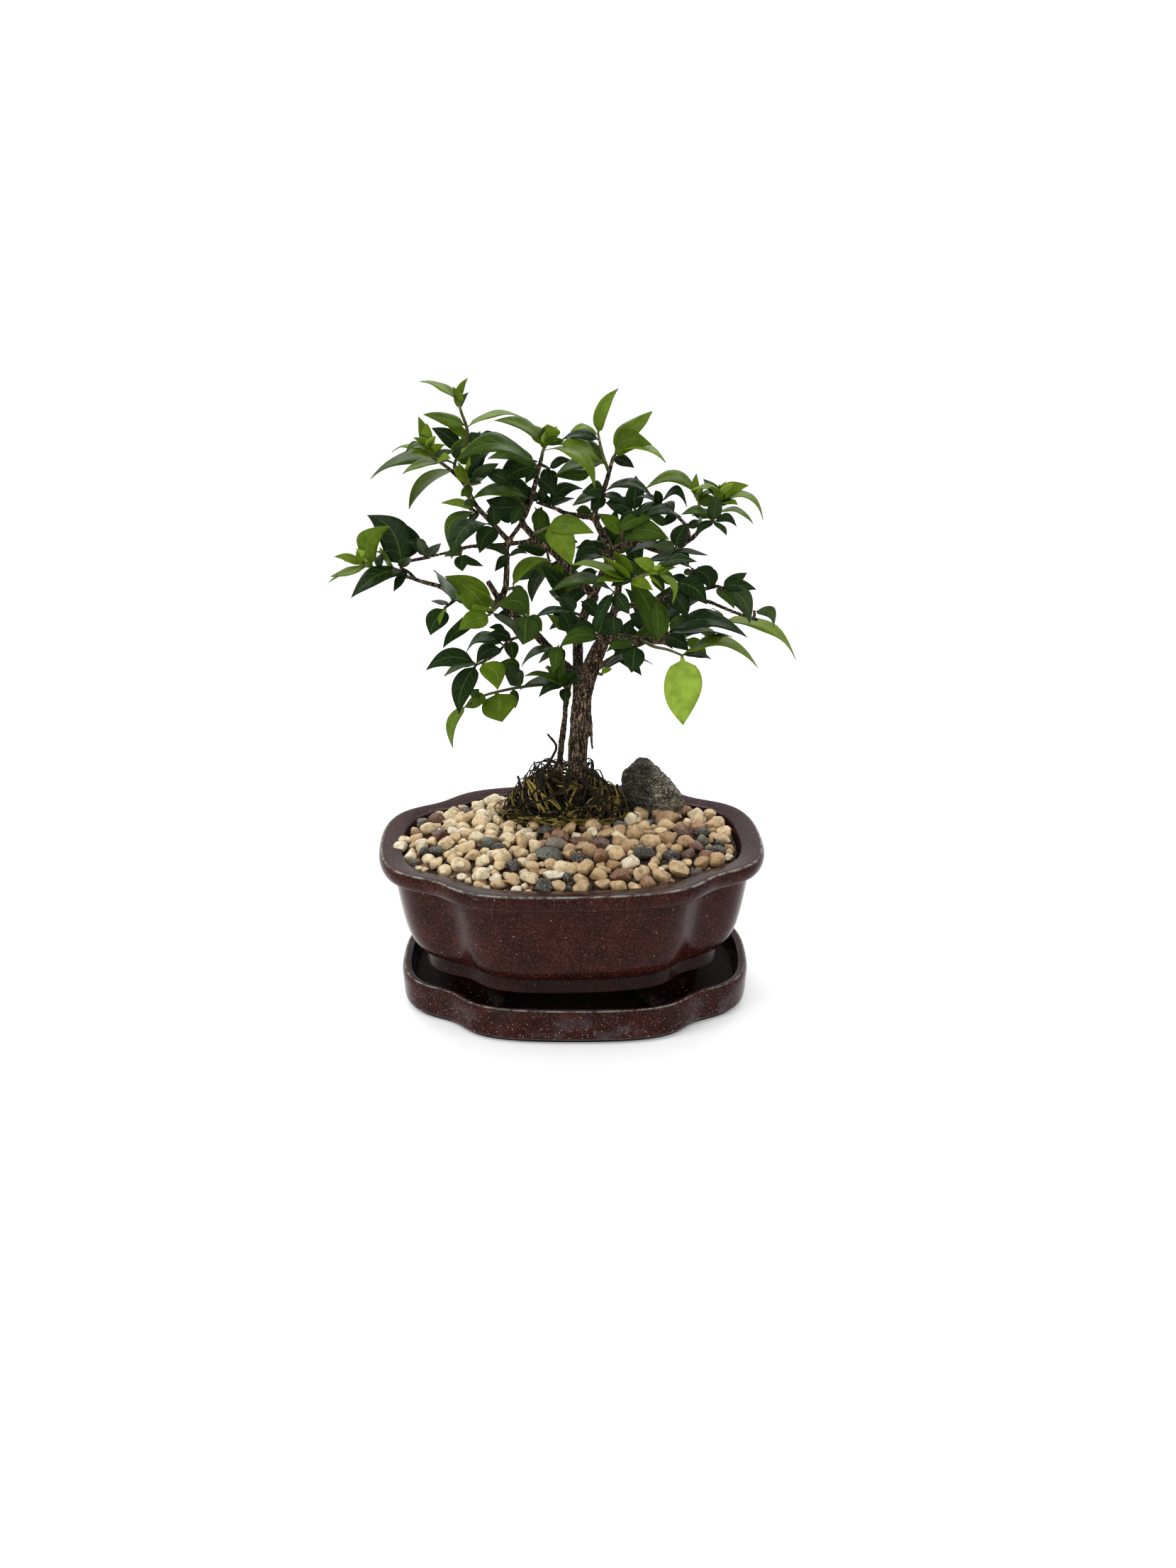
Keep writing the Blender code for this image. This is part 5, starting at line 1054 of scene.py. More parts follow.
# %% Roots that stand free of the heap
# Spots in x and z on the trunk's upright plane, and how far each lies forward of it, with the
# radius at the route's start, all in mm
ROOT_ROUTES = (
    (((-13, 84, 8), (-12.2, 91, 7), (-7.8, 98, 5), (-6.4, 102.4, 4), (-10, 107.3, 3)), 0.85),
    (((-4.2, 99, 2), (-6, 95, 5), (-9, 90, 7), (-14, 82, 9)), 0.7),
    (((2, 97, 4), (4, 95, 6), (8, 92, 8), (14, 88, 8), (16, 84, 9), (13, 80, 11), (8, 79, 12)), 0.8),
    (((0, 88, 5), (-4, 84, 8), (-12, 80, 10), (-19, 78, 9)), 0.85),
    (((4, 88, 5), (9, 84, 9), (15, 80, 10), (20, 77, 9)), 0.9),
    (((5, 92, 3), (10, 90, 5), (12, 85, 8), (10, 80, 11), (4, 78, 13)), 0.6),
    (((-1, 92, 4), (-3, 87, 8), (-2, 81, 12), (1, 77, 14)), 0.7),
    (((6, 86, 4), (11, 80, 10), (17, 75, 13), (22, 72, 13)), 0.7),
    (((-6, 90, 2), (-12, 86, 5), (-18, 80, 6), (-24, 74, 6)), 0.7))
routes = []
for spots_along, radius in ROOT_ROUTES:
    points = smooth_route([(x, TRUNK_PLANE - forward, z) for x, z, forward in spots_along], 4)
    radii = [radius * (1 - STRAND_TAPER * step / len(points)) for step in range(len(points))]
    routes.append((points, radii))
roots = tubes("free_roots", routes)
push_out(roots, lambda place: 0.22 * noise.fractal(place / 1.6, 0.8, 2.0, 3))
set_attribute(roots, "tone", [0.45 + 0.4 * noise.noise(vertex.co / MM / 3.0)
                              for vertex in roots.data.vertices])
hand_over(roots, "free_roots", ["moss"], [root])

# %% [markdown]
# ## Trunk and limbs
# The tree's drawing is a list of spots: x and z where the line of sight from in front meets
# the trunk's upright plane, and a depth beyond it. The limbs are tubes along it. Their skins
# are melted into one by a voxel remesh, as the wood has grown together, and noise that is
# drawn out along the stems then raises the bark's flakes.

# %% The drawing of the trunk and its limbs
DEPTH_UNIT = 2.0
TRUNK_FOOT = 45.0
TRUNK_X = 2.5
TRUNK_RADIUS = 4.2
TRUNK_TAPER = 4
SIDE_STEM_X = -5.0
SIDE_STEM_RADIUS = 1.35
SIDE_STEM_FOOT = 74.0
LIMBS = (
    ("main_stem", ((TRUNK_X, TRUNK_FOOT, 0), (TRUNK_X, 84, 0), (2.6, 98, 0), (3.6, 110, 0),
                   (4.4, 121, 0), (6.4, 130, 0), (9.2, 138, -1), (11.8, 144, -2),
                   (14.5, 149, -3)), TRUNK_RADIUS, 2.5),
    ("rear_stem", ((3.4, 114, 1), (2.9, 126, 2), (2.8, 140, 4), (3.2, 150, 5), (5.5, 158, 6),
                   (9, 166, 6), (13, 175, 6), (16.2, 184, 6), (13, 191, 6), (10, 197, 6),
                   (10, 201, 6), (12.5, 207, 6), (14.5, 213, 5), (16.5, 220.3, 4)), 2.6, 0.9),
    ("side_stem", ((SIDE_STEM_X, SIDE_STEM_FOOT, 0), (SIDE_STEM_X, 86, 0), (-4.4, 100, 0),
                   (-3.1, 110, 0), (-2.3, 120, 0), (-0.8, 128, 1), (2.2, 136, 3)),
     SIDE_STEM_RADIUS, 1.2),
    ("loose_stem", ((8.8, 99.5, 0), (8.4, 107, 0), (7.9, 115, 0), (7.6, 122, 0), (6.2, 130, 0)),
     0.5, 1.1),
    ("left_limb", ((2, 132, 2), (-3, 136.5, 1), (-8, 142, 0), (-14, 149, -1), (-20, 155, -2),
                   (-28, 162.5, -3), (-26.5, 170, -2), (-26, 180, -1), (-26, 187, 0)), 2.2, 1.1),
    ("limb_fork", ((-28, 162, -3), (-31, 167, -3), (-34, 172, -3)), 1.5, 1.1),
    ("far_left_limb", ((-28, 162.5, -3), (-36, 162.6, -3), (-44, 163.5, -4), (-49, 166.5, -5),
                       (-53, 169.5, -6), (-60, 171.5, -6), (-66, 173.5, -6)), 1.5, 0.8),
    ("upper_limb", ((9, 166, 6), (4, 172, 6), (-4, 181, 5), (-10, 186.5, 4), (-14, 189.5, 3),
                    (-19.5, 196, 3), (-18, 200, 2), (-16, 205, 2), (-14, 212, 1),
                    (-12.6, 218, 0), (-11.5, 222, 0)), 1.9, 0.9),
    ("cross_limb", ((-14, 188.6, 3), (-20, 187.9, 2), (-26, 187.3, 0)), 1.1, 1.0),
    ("fork_limb", ((-26, 185, 0), (-24, 190, 1), (-19.5, 196, 3)), 1.0, 1.0),
    ("thin_left_limb", ((-26, 187, 0), (-36, 186.5, -2), (-42, 186, -3), (-49, 184, -4),
                        (-57, 182.1, -5)), 1.0, 0.6),
    ("high_left_limb", ((-25, 188.5, 0), (-30, 194, 2), (-38, 203, 3), (-42, 211, 3),
                        (-46, 215.5, 3), (-49.5, 218.5, 3)), 1.2, 0.8),
    ("arm", ((9.5, 198, 6), (2, 199, 7), (-2, 199.8, 7), (-6, 201.7, 8)), 1.3, 0.9),
    ("right_limb", ((16, 184, 6), (21, 186.5, 5), (27, 187.5, 5), (34, 185, 4), (41.5, 183.5, 3),
                    (46, 187.5, 3), (50, 190.5, 3), (52.5, 193.5, 3), (56.5, 196.5, 3)),
     1.5, 0.9),
    ("front_stub", ((14.5, 149, -3), (17, 157, -8), (19, 165, -14), (19.8, 174.5, -16)),
     2.0, 1.4),
    ("far_right_limb", ((18, 160, -10), (30, 163, -5), (40, 165, -1), (50, 167.5, 0),
                        (58, 169.5, 0)), 1.3, 0.8),
    ("bare_twig", ((44, 165.9, 0), (56, 163.5, -1), (66, 159.3, -2), (77, 155.5, -2)), 0.9, 0.7),
    ("low_right_limb", ((14.5, 149, -3), (22, 148, -5), (30, 147, -6), (38, 146.7, -7),
                        (44.5, 147.5, -7)), 1.8, 1.4),
    ("rear_right_limb", ((9.5, 134, 0), (15, 138, 4), (21, 141.5, 9), (28, 145, 15)), 1.4, 1.0),
    ("rear_limb", ((3, 150, 5), (0, 158, 11), (-5, 166, 19), (-8, 176, 25)), 1.5, 0.9),
    ("rear_high_limb", ((13, 175, 6), (17, 181, 12), (22, 190, 20)), 1.3, 0.9),
)


def spot(x, z, depth=0.0):
    """A spot of the drawing as a point in mm."""
    on_plane = Vector((x, TRUNK_PLANE, z))
    return on_plane + (on_plane - EYE).normalized() * depth * DEPTH_UNIT


# %% Limbs melted into one skin
BARK_VOXEL = 0.42
FLAKE = 0.42
KNOT_SWELL = 1.08
KNOTS = ((3.4, 112, 0, 4.0), (9, 165, 5, 2.4), (14.5, 149, -3, 2.9), (-27, 162.5, -3, 2.2),
         (-14, 189, 3, 2.2), (16, 184, 6, 2.1), (2, 133, 1, 3.0), (10, 198, 6, 1.9))
CUT_ENDS = ((19.8, 174.5, -16, 2.2), (16.5, 220.3, 4, 1.5), (-6, 201.7, 8, 1.4))
limb_routes = []
for number, (name, spots_along, start_radius, end_radius) in enumerate(LIMBS):
    points = smooth_route([spot(*place) for place in spots_along], 4)
    last = len(points) - 1
    taper = TRUNK_TAPER if number == 0 else 1
    radii = [start_radius + (end_radius - start_radius) * (step / last) ** taper
             for step in range(last + 1)]
    limb_routes.append((points, radii))
trunk = tubes("trunk_skin", limb_routes, 3)
for x, z, depth, radius in KNOTS:
    deselect()
    bpy.ops.mesh.primitive_ico_sphere_add(subdivisions=2, radius=radius * KNOT_SWELL * MM,
                                          location=spot(x, z, depth) * MM)
    select_only(bpy.context.object, trunk)
    bpy.ops.object.join()
apply_modifier(trunk, "REMESH", (("mode", "VOXEL"), ("voxel_size", BARK_VOXEL * MM)))
apply_modifier(trunk, "SMOOTH", (("factor", 0.5), ("iterations", 4)))


def flake_height(place):
    """Relief of the bark: drawn out upwards, and weaker on the thin limbs higher up."""
    drawn = Vector((place.x / 1.1, place.y / 1.1, place.z / 4.2))
    girth = min(1.0, 0.35 + max(0.0, 150 - place.z) / 80)
    return FLAKE * girth * noise.fractal(drawn, 0.8, 2.0, 4)


push_out(trunk, flake_height)
values = [0.0] * len(trunk.data.vertices)
for x, z, depth, radius in CUT_ENDS:
    end = spot(x, z, depth)
    for vertex in trunk.data.vertices:
        distance = (vertex.co / MM - end).length
        values[vertex.index] = max(values[vertex.index], min(1.0, 1.6 - distance / radius))
set_attribute(trunk, "cut", values)
hand_over(trunk, "trunk_bark", ["trunk"], [bark])

# %% [markdown]
# ## Leaves
# One leaf is modelled flat: a grid whose rows are drawn in to the outline, with its ends
# merged to points. Each copy is laid on its own midline, folded a little along it, waved at
# its margins and given a thickness. Where a leaf's tip lies in depth is read from the solid
# model: it is the solid's corner on the line of sight through the tip's drawn place. So the
# fine leaves stand where the plain ones do.

# %% One flat leaf
LEAF_COLUMNS = 6
LEAF_ROWS = 14


def leaf_width(along):
    """Half width of the outline by its greatest, from the stalk at 0 to the drawn-out tip at 1."""
    body = 3.49 * along ** 0.75 * max(0.0, 1 - along) ** 1.1
    stalk = unit((along - 0.02) / 0.14)
    return body * stalk * stalk * (3 - 2 * stalk)


deselect()
bpy.ops.mesh.primitive_grid_add(x_subdivisions=LEAF_COLUMNS, y_subdivisions=LEAF_ROWS, size=2.0)
flat_leaf = bpy.context.object
bpy.ops.object.mode_set(mode="EDIT")
bpy.ops.mesh.select_mode(type="VERT")
for row in range(LEAF_ROWS + 1):
    level = 2 * row / LEAF_ROWS - 1
    bm = bmesh.from_edit_mesh(flat_leaf.data)
    for vert in bm.verts:
        vert.select_set(abs(vert.co.y - level) < 0.01)
    bm.select_flush_mode()
    bmesh.update_edit_mesh(flat_leaf.data)
    width = max(0.07 if row < 3 else 0.0, leaf_width(row / LEAF_ROWS))
    bpy.ops.transform.resize(value=(width, 1, 1), center_override=(0, level, 0))
bpy.ops.object.mode_set(mode="OBJECT")
leaf_points = [(vertex.co.x, (vertex.co.y + 1) / 2) for vertex in flat_leaf.data.vertices]
leaf_faces = [tuple(polygon.vertices) for polygon in flat_leaf.data.polygons]
leaf_uvs = [tuple(corner.uv) for corner in flat_leaf.data.uv_layers[0].data]
bpy.data.objects.remove(flat_leaf, do_unlink=True)
print("faces of a leaf:", len(leaf_faces))

# %% The drawing of the leafy twigs
# For each twig: its name, one letter for each leaf's tone (D dark, M mid, B bright with the
# light behind it, L light young, Y the palest young, G grey with the sky in it), the twig's
# route of spots, and its leaves: place along the twig from 0 to 1, the tip's x and z, the
# width as seen from in front, and how far the leaf arches
SPRAYS = (
    ("left_tip", "LLLBLG",
     ((-66, 173.5, -6), (-71.5, 175.3, -6), (-76, 176.6, -6), (-81, 177.8, -6), (-86, 178.7, -6)),
     ((0.8, -99, 171.2, 2.2, 1), (0.9, -98, 173.8, 3, -1), (1, -96, 182, 3.5, 1),
      (0.72, -72.5, 194.5, 9, 6), (0.35, -77.5, 186, 2.5, 0), (0.55, -73.5, 184.6, 2.5, 2))),
    ("left_big", "DDDG",
     ((-63.5, 172.8, -6), (-66, 175.6, -7), (-69.5, 177.6, -8)),
     ((1, -82, 199, 13, 5), (0.3, -90, 165, 7, 2.5), (0.5, -72.5, 167.6, 3.5, 0),
      (0.9, -65.5, 182, 4, 0))),
    ("left_high", "DGGDD",
     ((-57, 182.1, -5), (-61, 181.2, -5), (-65.5, 180.3, -4), (-69.5, 179.4, -3)),
     ((0.15, -68, 187.7, 4.5, 3), (0.1, -62, 190, 4, 0), (0.12, -52.5, 187.5, 3.5, 0),
      (0.8, -69.5, 197, 9, 3), (1, -79, 184, 4, 1))),
    ("left_middle", "DGDD",
     ((-44, 185.6, -3.5), (-44.6, 184.2, -7), (-44.8, 182.6, -9)),
     ((1, -44, 176, 6, 0), (0.9, -51.5, 182, 3.2, 1), (1, -35.6, 178.2, 3, -1), (0.9, -50, 189, 4, 1))),
    ("left_front", "BBGLLD",
     ((-29, 162.6, -3), (-31.5, 160, -8), (-33.6, 157.8, -12)),
     ((0.9, -51.5, 174, 12, 2), (1, -46.3, 151.3, 8, 1), (0.8, -20, 146, 3.5, 1),
      (0.6, -41.5, 170, 3, 0), (0.7, -40, 162.3, 3, -1.5), (1, -53, 143.7, 6, 1.5))),
    ("left_stub", "DLDG",
     ((-46.5, 164.8, -4.5), (-49.5, 162.5, -7), (-52, 160.5, -8)),
     ((1, -58, 149, 8.5, 1), (0.9, -54, 153.6, 2.2, 0), (0.6, -57.3, 163.6, 1.8, 0),
      (0.3, -56, 176.3, 4, 0))),
    ("left_arch", "MDL",
     ((-36, 200.7, 3), (-37.5, 200.3, -1), (-39.5, 201.5, -4)),
     ((0.6, -48.5, 184.5, 5, 5), (0.5, -40.3, 194.8, 3, 0), (1, -52, 203.8, 3, 1))),
    ("high_left_young", "LLLLMLGL",
     ((-49.5, 218.5, 3), (-52, 220.3, 2), (-55, 222.3, 1), (-56.5, 225.5, 0)),
     ((0.2, -67, 215.6, 3, 1), (1, -56.6, 235.6, 5, 0.5), (1, -60, 238.2, 4.5, 0),
      (0.85, -71, 224.2, 1.8, 2), (0.9, -65.5, 224, 1.8, 3), (0.7, -49.5, 227, 3, 1),
      (0.6, -46, 224.6, 3, 0.5), (0.4, -47.5, 221.6, 3, 0.5))),
    ("high_left_dark", "DMBDGM",
     ((-46, 215.5, 3), (-46, 220, 7), (-43.5, 225, 9)),
     ((1, -55, 233.7, 6.5, 1.5), (0.45, -80, 213.5, 5.5, 4.5), (0.15, -65, 201.4, 5, 3),
      (1, -36, 232, 4, 0), (1, -28, 231, 3.5, 1), (0.6, -34, 222, 6, 1))),
    ("top_shoot", "LLBLL",
     ((-43.5, 225, 9), (-40.8, 229, 8), (-41, 234, 8), (-43, 240, 7), (-44, 244.5, 7)),
     ((1, -59, 251.6, 2.6, 1.5), (1, -40, 253, 3, 0.8), (0.5, -58, 239, 5, -0.5),
      (0.45, -18.5, 237.6, 2.2, 2.5), (0.25, -49.5, 235.6, 4, 0.5))),
    ("inner_high_left", "GDLDM",
     ((-42, 211, 3), (-40.5, 211.6, -2), (-39, 211.4, -5)),
     ((1, -28.5, 219.7, 5, 1), (0.9, -31, 226, 3.5, 1), (0.6, -45.5, 219, 5, 0),
      (0.8, -35, 214, 3, 0), (0.3, -41, 205.5, 4, 0))),
    ("crown_left_dark", "MMDD",
     ((-12.8, 217, 0.5), (-13.4, 218.4, -4), (-13.8, 219.4, -6)),
     ((1, -46, 220.2, 8, 6), (0.5, -33, 221.5, 6, 3), (0.7, -27.5, 213.5, 7, 1),
      (0.5, -18, 211.7, 4, 0))),
    ("crown_left_young", "BLLML",
     ((-11.5, 222, 0), (-10.8, 225, -1), (-9.4, 227.4, -1)),
     ((0.8, -30, 236.6, 5, 2.8), (1, -14.7, 234.8, 6.5, 0), (1, -5.2, 234.4, 4, 0),
      (0.9, -2.5, 228.8, 3.5, 0.5), (0.5, 9.7, 209.6, 5, 5.5))),
    ("crown_inner", "DDD",
     ((-12.2, 219.5, 0.2), (-10, 218.5, 4), (-8.5, 217.5, 8)),
     ((1, 1, 220.4, 3.5, 1.5), (1, -6, 208.5, 5, 0), (0.9, -12, 211.5, 4, 0))),
    ("crown_middle", "DDDGD",
     ((12.5, 207, 6), (13.4, 207.6, 2), (13.2, 208, 0)),
     ((1, 33, 206, 4, 4), (0.7, 22, 203.2, 3.5, 0.5), (1, 4.5, 208.3, 6.5, 1.5),
      (0.8, 0.7, 202.8, 3.5, 0.5), (0.6, 8, 200.8, 6, 0))),
    ("crown_right", "BLDL",
     ((16.5, 220.3, 4), (17, 222, 3.6), (18, 223.5, 3)),
     ((0.6, 32.5, 227, 9.5, 5), (0.8, 38, 220, 2.5, 4.5), (0.6, 25.5, 218, 4.5, 0),
      (1, 32.5, 240.3, 7.5, 1))),
    ("crown_thin_shoot", "LLDMM",
     ((15.3, 216.4, 4.5), (13.4, 221.5, 1), (12, 226.5, 0), (11, 231.4, 0)),
     ((1, 19, 249, 5.5, 2), (0.95, 0, 232.2, 2.4, 2), (0.85, -3.5, 229, 4, 2), (0.3, -4, 226, 6, 3),
      (0.2, -6.5, 214, 5, 2))),
    ("arm_tip", "DDDD",
     ((-6, 201.7, 8), (-10, 203, 8), (-13.6, 204.2, 7)),
     ((0.2, 1.6, 205.7, 2.4, 0.5), (0.25, 5, 209.5, 6, 3.5), (0.7, -9.6, 213.3, 4, 0),
      (1, -17.5, 211, 4, 0))),
    ("middle_light", "BLMM",
     ((-15.5, 191, 3), (-12, 193, -1), (-9.6, 194, -4)),
     ((1, 9.6, 191.6, 8, 2), (1, 0.3, 178.3, 10.5, 2.5), (0.2, -9.4, 189.4, 7.5, 1),
      (0.5, -11.5, 202.5, 6, 1))),
    ("middle_dark", "DD",
     ((14.6, 180, 6), (13, 183, 1), (11.5, 185, -2)),
     ((1, 1.8, 182, 6, 2.5), (0.4, 1, 175.5, 5, 2))),
    ("stub_young", "LLLLLLLLDM",
     ((19.7, 171, -15.5), (24.5, 172.4, -18), (30, 174.5, -19), (35.5, 175.3, -19)),
     ((1, 42.7, 177.6, 2.6, 0.5), (1, 41.5, 162.5, 2.6, 3), (0.9, 25.5, 181, 5, 1.5),
      (0.25, 33.7, 168, 4.5, 0.5), (0.2, 17.5, 184, 6, 1), (0.16, 0.5, 178.6, 3.5, 2),
      (0.18, 12.4, 182.3, 2.6, 0.5), (0.14, 10.3, 171.5, 3, 1), (0.85, 38, 166.5, 4, 0.5),
      (0.4, 34, 179, 4, 0))),
    ("stub_dark", "MDD",
     ((19.2, 166.5, -14.3), (18.4, 167, -18), (17.5, 167.3, -20)),
     ((1, -8.7, 167, 4.5, 4), (0.9, 9.5, 150.8, 4.5, 0), (0.8, 24, 158, 6, 0))),
    ("stem_front", "DDDD",
     ((5.2, 157, 6), (3, 158, 0), (0.8, 158.8, -4)),
     ((1, -14.7, 156.7, 3.4, 1.5), (1, -1.6, 149.5, 7, 0), (0.8, -9, 151.5, 4, 0),
      (0.9, -4, 166, 5, 1))),
    ("fork_front", "MDD",
     ((12.3, 145, -2), (11.8, 147, -7), (10.8, 149, -9)),
     ((1, -4.8, 144, 6.5, 2.5), (1, -1, 150.5, 5.5, 3), (1, 16, 158.8, 8, 1))),
    ("limb_front", "DGG",
     ((-5.5, 139.3, 0.5), (-4.6, 142, -4), (-3.9, 145, -6)),
     ((1, -6, 132.6, 6.5, 1), (0.35, -20.6, 135.6, 3, 3.5), (0.7, -13.5, 137, 3, 1))),
    ("stem_cluster", "MDMMDDDD",
     ((-1.7, 124, 0), (-2.4, 126.4, -4), (-3.3, 127.6, -6)),
     ((1, -19.5, 131.6, 3, 1.5), (0.8, -21.5, 125.4, 4, 2.5), (1, -10.6, 136.4, 5, 1),
      (1, -3, 138.6, 3.5, 0), (0.9, -13.6, 122.4, 4, 2), (0.7, -2.4, 119.4, 5, 0),
      (0.9, 2, 134.4, 4, 0), (0.9, 6, 130.4, 3, 1))),
    ("low_twig", "DDDD",
     ((-15.4, 150.3, -1.2), (-20, 148.8, -4), (-24, 147.6, -6), (-27, 145.5, -7), (-30, 142, -8)),
     ((0.55, -34.4, 149.6, 5, 1), (0.8, -44, 140.2, 4.5, 5), (0.9, -39.3, 137.2, 6.5, 2),
      (0.6, -24, 138, 6, 0))),
    ("low_left", "DDGB",
     ((-30, 142, -8), (-35, 138.6, -8), (-39.6, 136.5, -8)),
     ((1, -60.5, 134, 8, 4), (1, -47, 114.9, 9, 2.5), (0.9, -53, 131.4, 2.8, 1),
      (0.8, -30.8, 125.4, 9.5, 3))),
    ("hanging_left", "BBMGGG",
     ((-1.2, 127.5, 0.5), (-10, 128, 5), (-20, 127, 3), (-30, 125, -3), (-37.5, 122.7, -6),
      (-44, 118.6, -8)),
     ((0.72, -29, 111.5, 15, 0), (1, -50, 99.8, 4.5, 3), (0.92, -38.5, 126, 4.5, 1),
      (0.5, -31, 137, 6.5, 3), (0.48, -21, 134, 4, 0), (0.52, -23.5, 117.4, 4, 0))),
    ("limb_light", "MMM",
     ((-20.5, 155.5, -2), (-19, 157, -7), (-17.6, 157.4, -10)),
     ((1, -20, 145, 12, 0), (1, -30.8, 162.3, 9, 4), (0.9, -12, 150.5, 5, 1))),
    ("upright_light", "BM",
     ((-26.6, 168.5, -2.2), (-24.6, 168.9, -4), (-23.4, 169.3, -5)),
     ((1, -7.6, 180.6, 5, 3.5), (0.8, -19, 165, 4, 1))),
    ("upright_dark", "DDD",
     ((-26, 181, -1), (-25.4, 182, -4), (-25, 182.6, -5)),
     ((1, -17.6, 183.3, 2.2, 1), (1, -34.4, 185.4, 3, 1), (1, -31, 176, 4, 0))),
    ("cross_dark", "DDD",
     ((-28.5, 192.3, 1.5), (-29.6, 194, -3), (-31, 194.6, -5)),
     ((1, -48.5, 181, 7.5, 5), (0.6, -37, 183.4, 8, 2), (0.8, -31.5, 203.4, 6, 0))),
    ("upper_middle", "MDDD",
     ((-17.6, 201.4, 2), (-18.8, 202.8, -3), (-19.6, 203.8, -5)),
     ((1, -39.8, 205, 4.2, 4.5), (0.6, -28, 214, 11, 1), (0.5, -34, 200, 8, 1), (0.9, -24, 195, 5, 0))),
    ("right_high", "DDDDDDDD",
     ((48, 189, 3), (47, 194, 7), (43, 198.4, 9), (38, 201.4, 10), (36, 204.2, 10)),
     ((1, 46.8, 202, 4, 6), (0.95, 41.6, 200.2, 3, 2), (1, 34, 209, 4, 0), (0.95, 26, 205.8, 2, 1.5),
      (0.8, 27, 199, 4, 2), (0.5, 30, 198.4, 4, 2.5), (0.3, 52.3, 196.8, 3.5, 0),
      (0.6, 37, 194.5, 4, 1))),
    ("right_young", "LLLLLGG",
     ((56.5, 196.5, 3), (58.7, 199.4, 2), (60, 202.4, 2), (60.8, 205.4, 2)),
     ((1, 71.5, 211, 5.5, 2.5), (0.95, 70.5, 208.4, 3, 0.5), (0.9, 77.5, 197, 2.6, 6),
      (0.8, 67.2, 203.2, 2.2, 0.5), (0.45, 73.5, 195.6, 2.2, 2), (1, 53, 213.6, 4, 0),
      (0.7, 64.2, 206, 2.6, 0))),
    ("right_light", "BMM",
     ((52.2, 193.2, 3), (52.2, 198, 9), (51.7, 203, 11), (51, 207.2, 11)),
     ((1, 30, 209.6, 5.5, 5.5), (0.95, 60.2, 208.9, 2, 0.5), (0.9, 60, 204.6, 5, 0))),
    ("right_dark", "DDDMG",
     ((55.5, 195.8, 3), (57, 196.4, -1), (58, 196.4, -3)),
     ((0.9, 51, 190.2, 3.6, 1.5), (1, 67, 194.2, 3.6, 2.5), (1, 63, 190.8, 2.4, 0),
      (0.7, 44.5, 199.2, 3.6, 2.5), (0.8, 58.6, 207, 6, 0))),
    ("right_inner", "DMBM",
     ((21.2, 186.6, 5), (21.2, 189, 0), (20.8, 191.4, -2)),
     ((1, 28.6, 200, 7, 2), (0.8, 40, 189, 9, 3.5), (0.9, 11.2, 199.6, 6, 1),
      (1, 19.4, 197.5, 2.4, 0))),
    ("right_node", "GDDDD",
     ((41.5, 183.5, 3), (42, 184.6, -2), (42.6, 185.6, -4)),
     ((1, 33, 186.2, 5, 0.5), (1, 47.2, 195.8, 7, 1), (0.7, 55.5, 182.6, 2, 0),
      (0.6, 22.5, 182.4, 3.2, 2.5), (0.8, 48, 178.6, 4, 1))),
    ("right_level", "DDD",
     ((47, 166.8, 0), (47.6, 170.5, -4), (48.8, 174.6, -5), (49.6, 177.4, -5)),
     ((1, 30, 179.6, 4.2, 3), (0.95, 56.6, 168.2, 8, 3), (0.5, 41, 174, 4, 1))),
    ("right_broad", "DDM",
     ((40, 165, -1), (41.2, 168, -6), (42.3, 171, -8)),
     ((1, 55.8, 162, 9, 3), (0.6, 47.4, 156.2, 8, 1), (1, 33.5, 175.5, 5, 1))),
    ("far_right", "GMDDD",
     ((58, 169.5, 0), (60, 169.8, -2), (62, 169.2, -4)),
     ((0.7, 73.6, 154, 8.5, 4), (0.5, 67, 160.4, 4.5, 0), (1, 71.8, 175.4, 5, 0),
      (1, 75.8, 168.4, 5, 1), (0.1, 51.5, 178, 7, 1))),
    ("far_right_low", "G",
     ((75, 156.2, -2), (75.4, 158, -5), (75.2, 159.4, -6)),
     ((1, 83.4, 152.4, 5, 4),)),
    ("low_right_young", "YLD",
     ((29.4, 147.1, -6), (34, 144.4, -9), (40, 143, -10), (46.4, 140.4, -11)),
     ((1, 47, 110, 15.5, 0), (0.97, 77.5, 135.2, 5, 6), (1, 58.2, 138.8, 3, 1))),
    ("low_right_arch", "LLL",
     ((44.5, 147.5, -7), (52, 151, -1), (61, 154.6, 2)),
     ((1, 93.2, 138.6, 4.6, 6), (1, 57.5, 160.6, 2, 1.5), (0.6, 60, 146, 4, 1))),
    ("low_right_dark", "DDDM",
     ((38, 146.7, -7), (39.4, 149.4, -11), (41, 150.6, -12)),
     ((1, 72.8, 148.2, 7, 4.5), (0.8, 67, 148.3, 2.2, 0.5), (0.6, 48.8, 142.4, 7, 1),
      (0.9, 52, 157.5, 5, 1))),
    ("low_right_front", "MM",
     ((34, 146.8, -6.5), (35, 146.6, -11), (35.6, 147, -13)),
     ((1, 35.3, 164.4, 6.5, 0), (0.4, 24, 174, 10, 2))),
    ("hanging_dark", "DM",
     ((26, 147.5, -5.5), (26.4, 145.8, -9), (26.8, 144.6, -10)),
     ((1, 25, 133, 9, 0), (0.8, 14.6, 142, 4, 1.5))),
    ("stem_right", "DL",
     ((10.2, 133.5, 0), (12, 132.4, -4), (13, 132.4, -5)),
     ((0.7, 34, 136.6, 2.4, 4), (1, 17, 134.8, 2.4, 0.5))),
    ("rear_right", "DDDDMDDD",
     ((28, 145, 15), (30, 148, 17.5), (33, 152, 19.5)),
     ((0.4, 14, 146, 8, 2), (0.5, 42, 143, 6, 3), (1, 24, 158, 8, 1), (1, 45, 158, 7, 2),
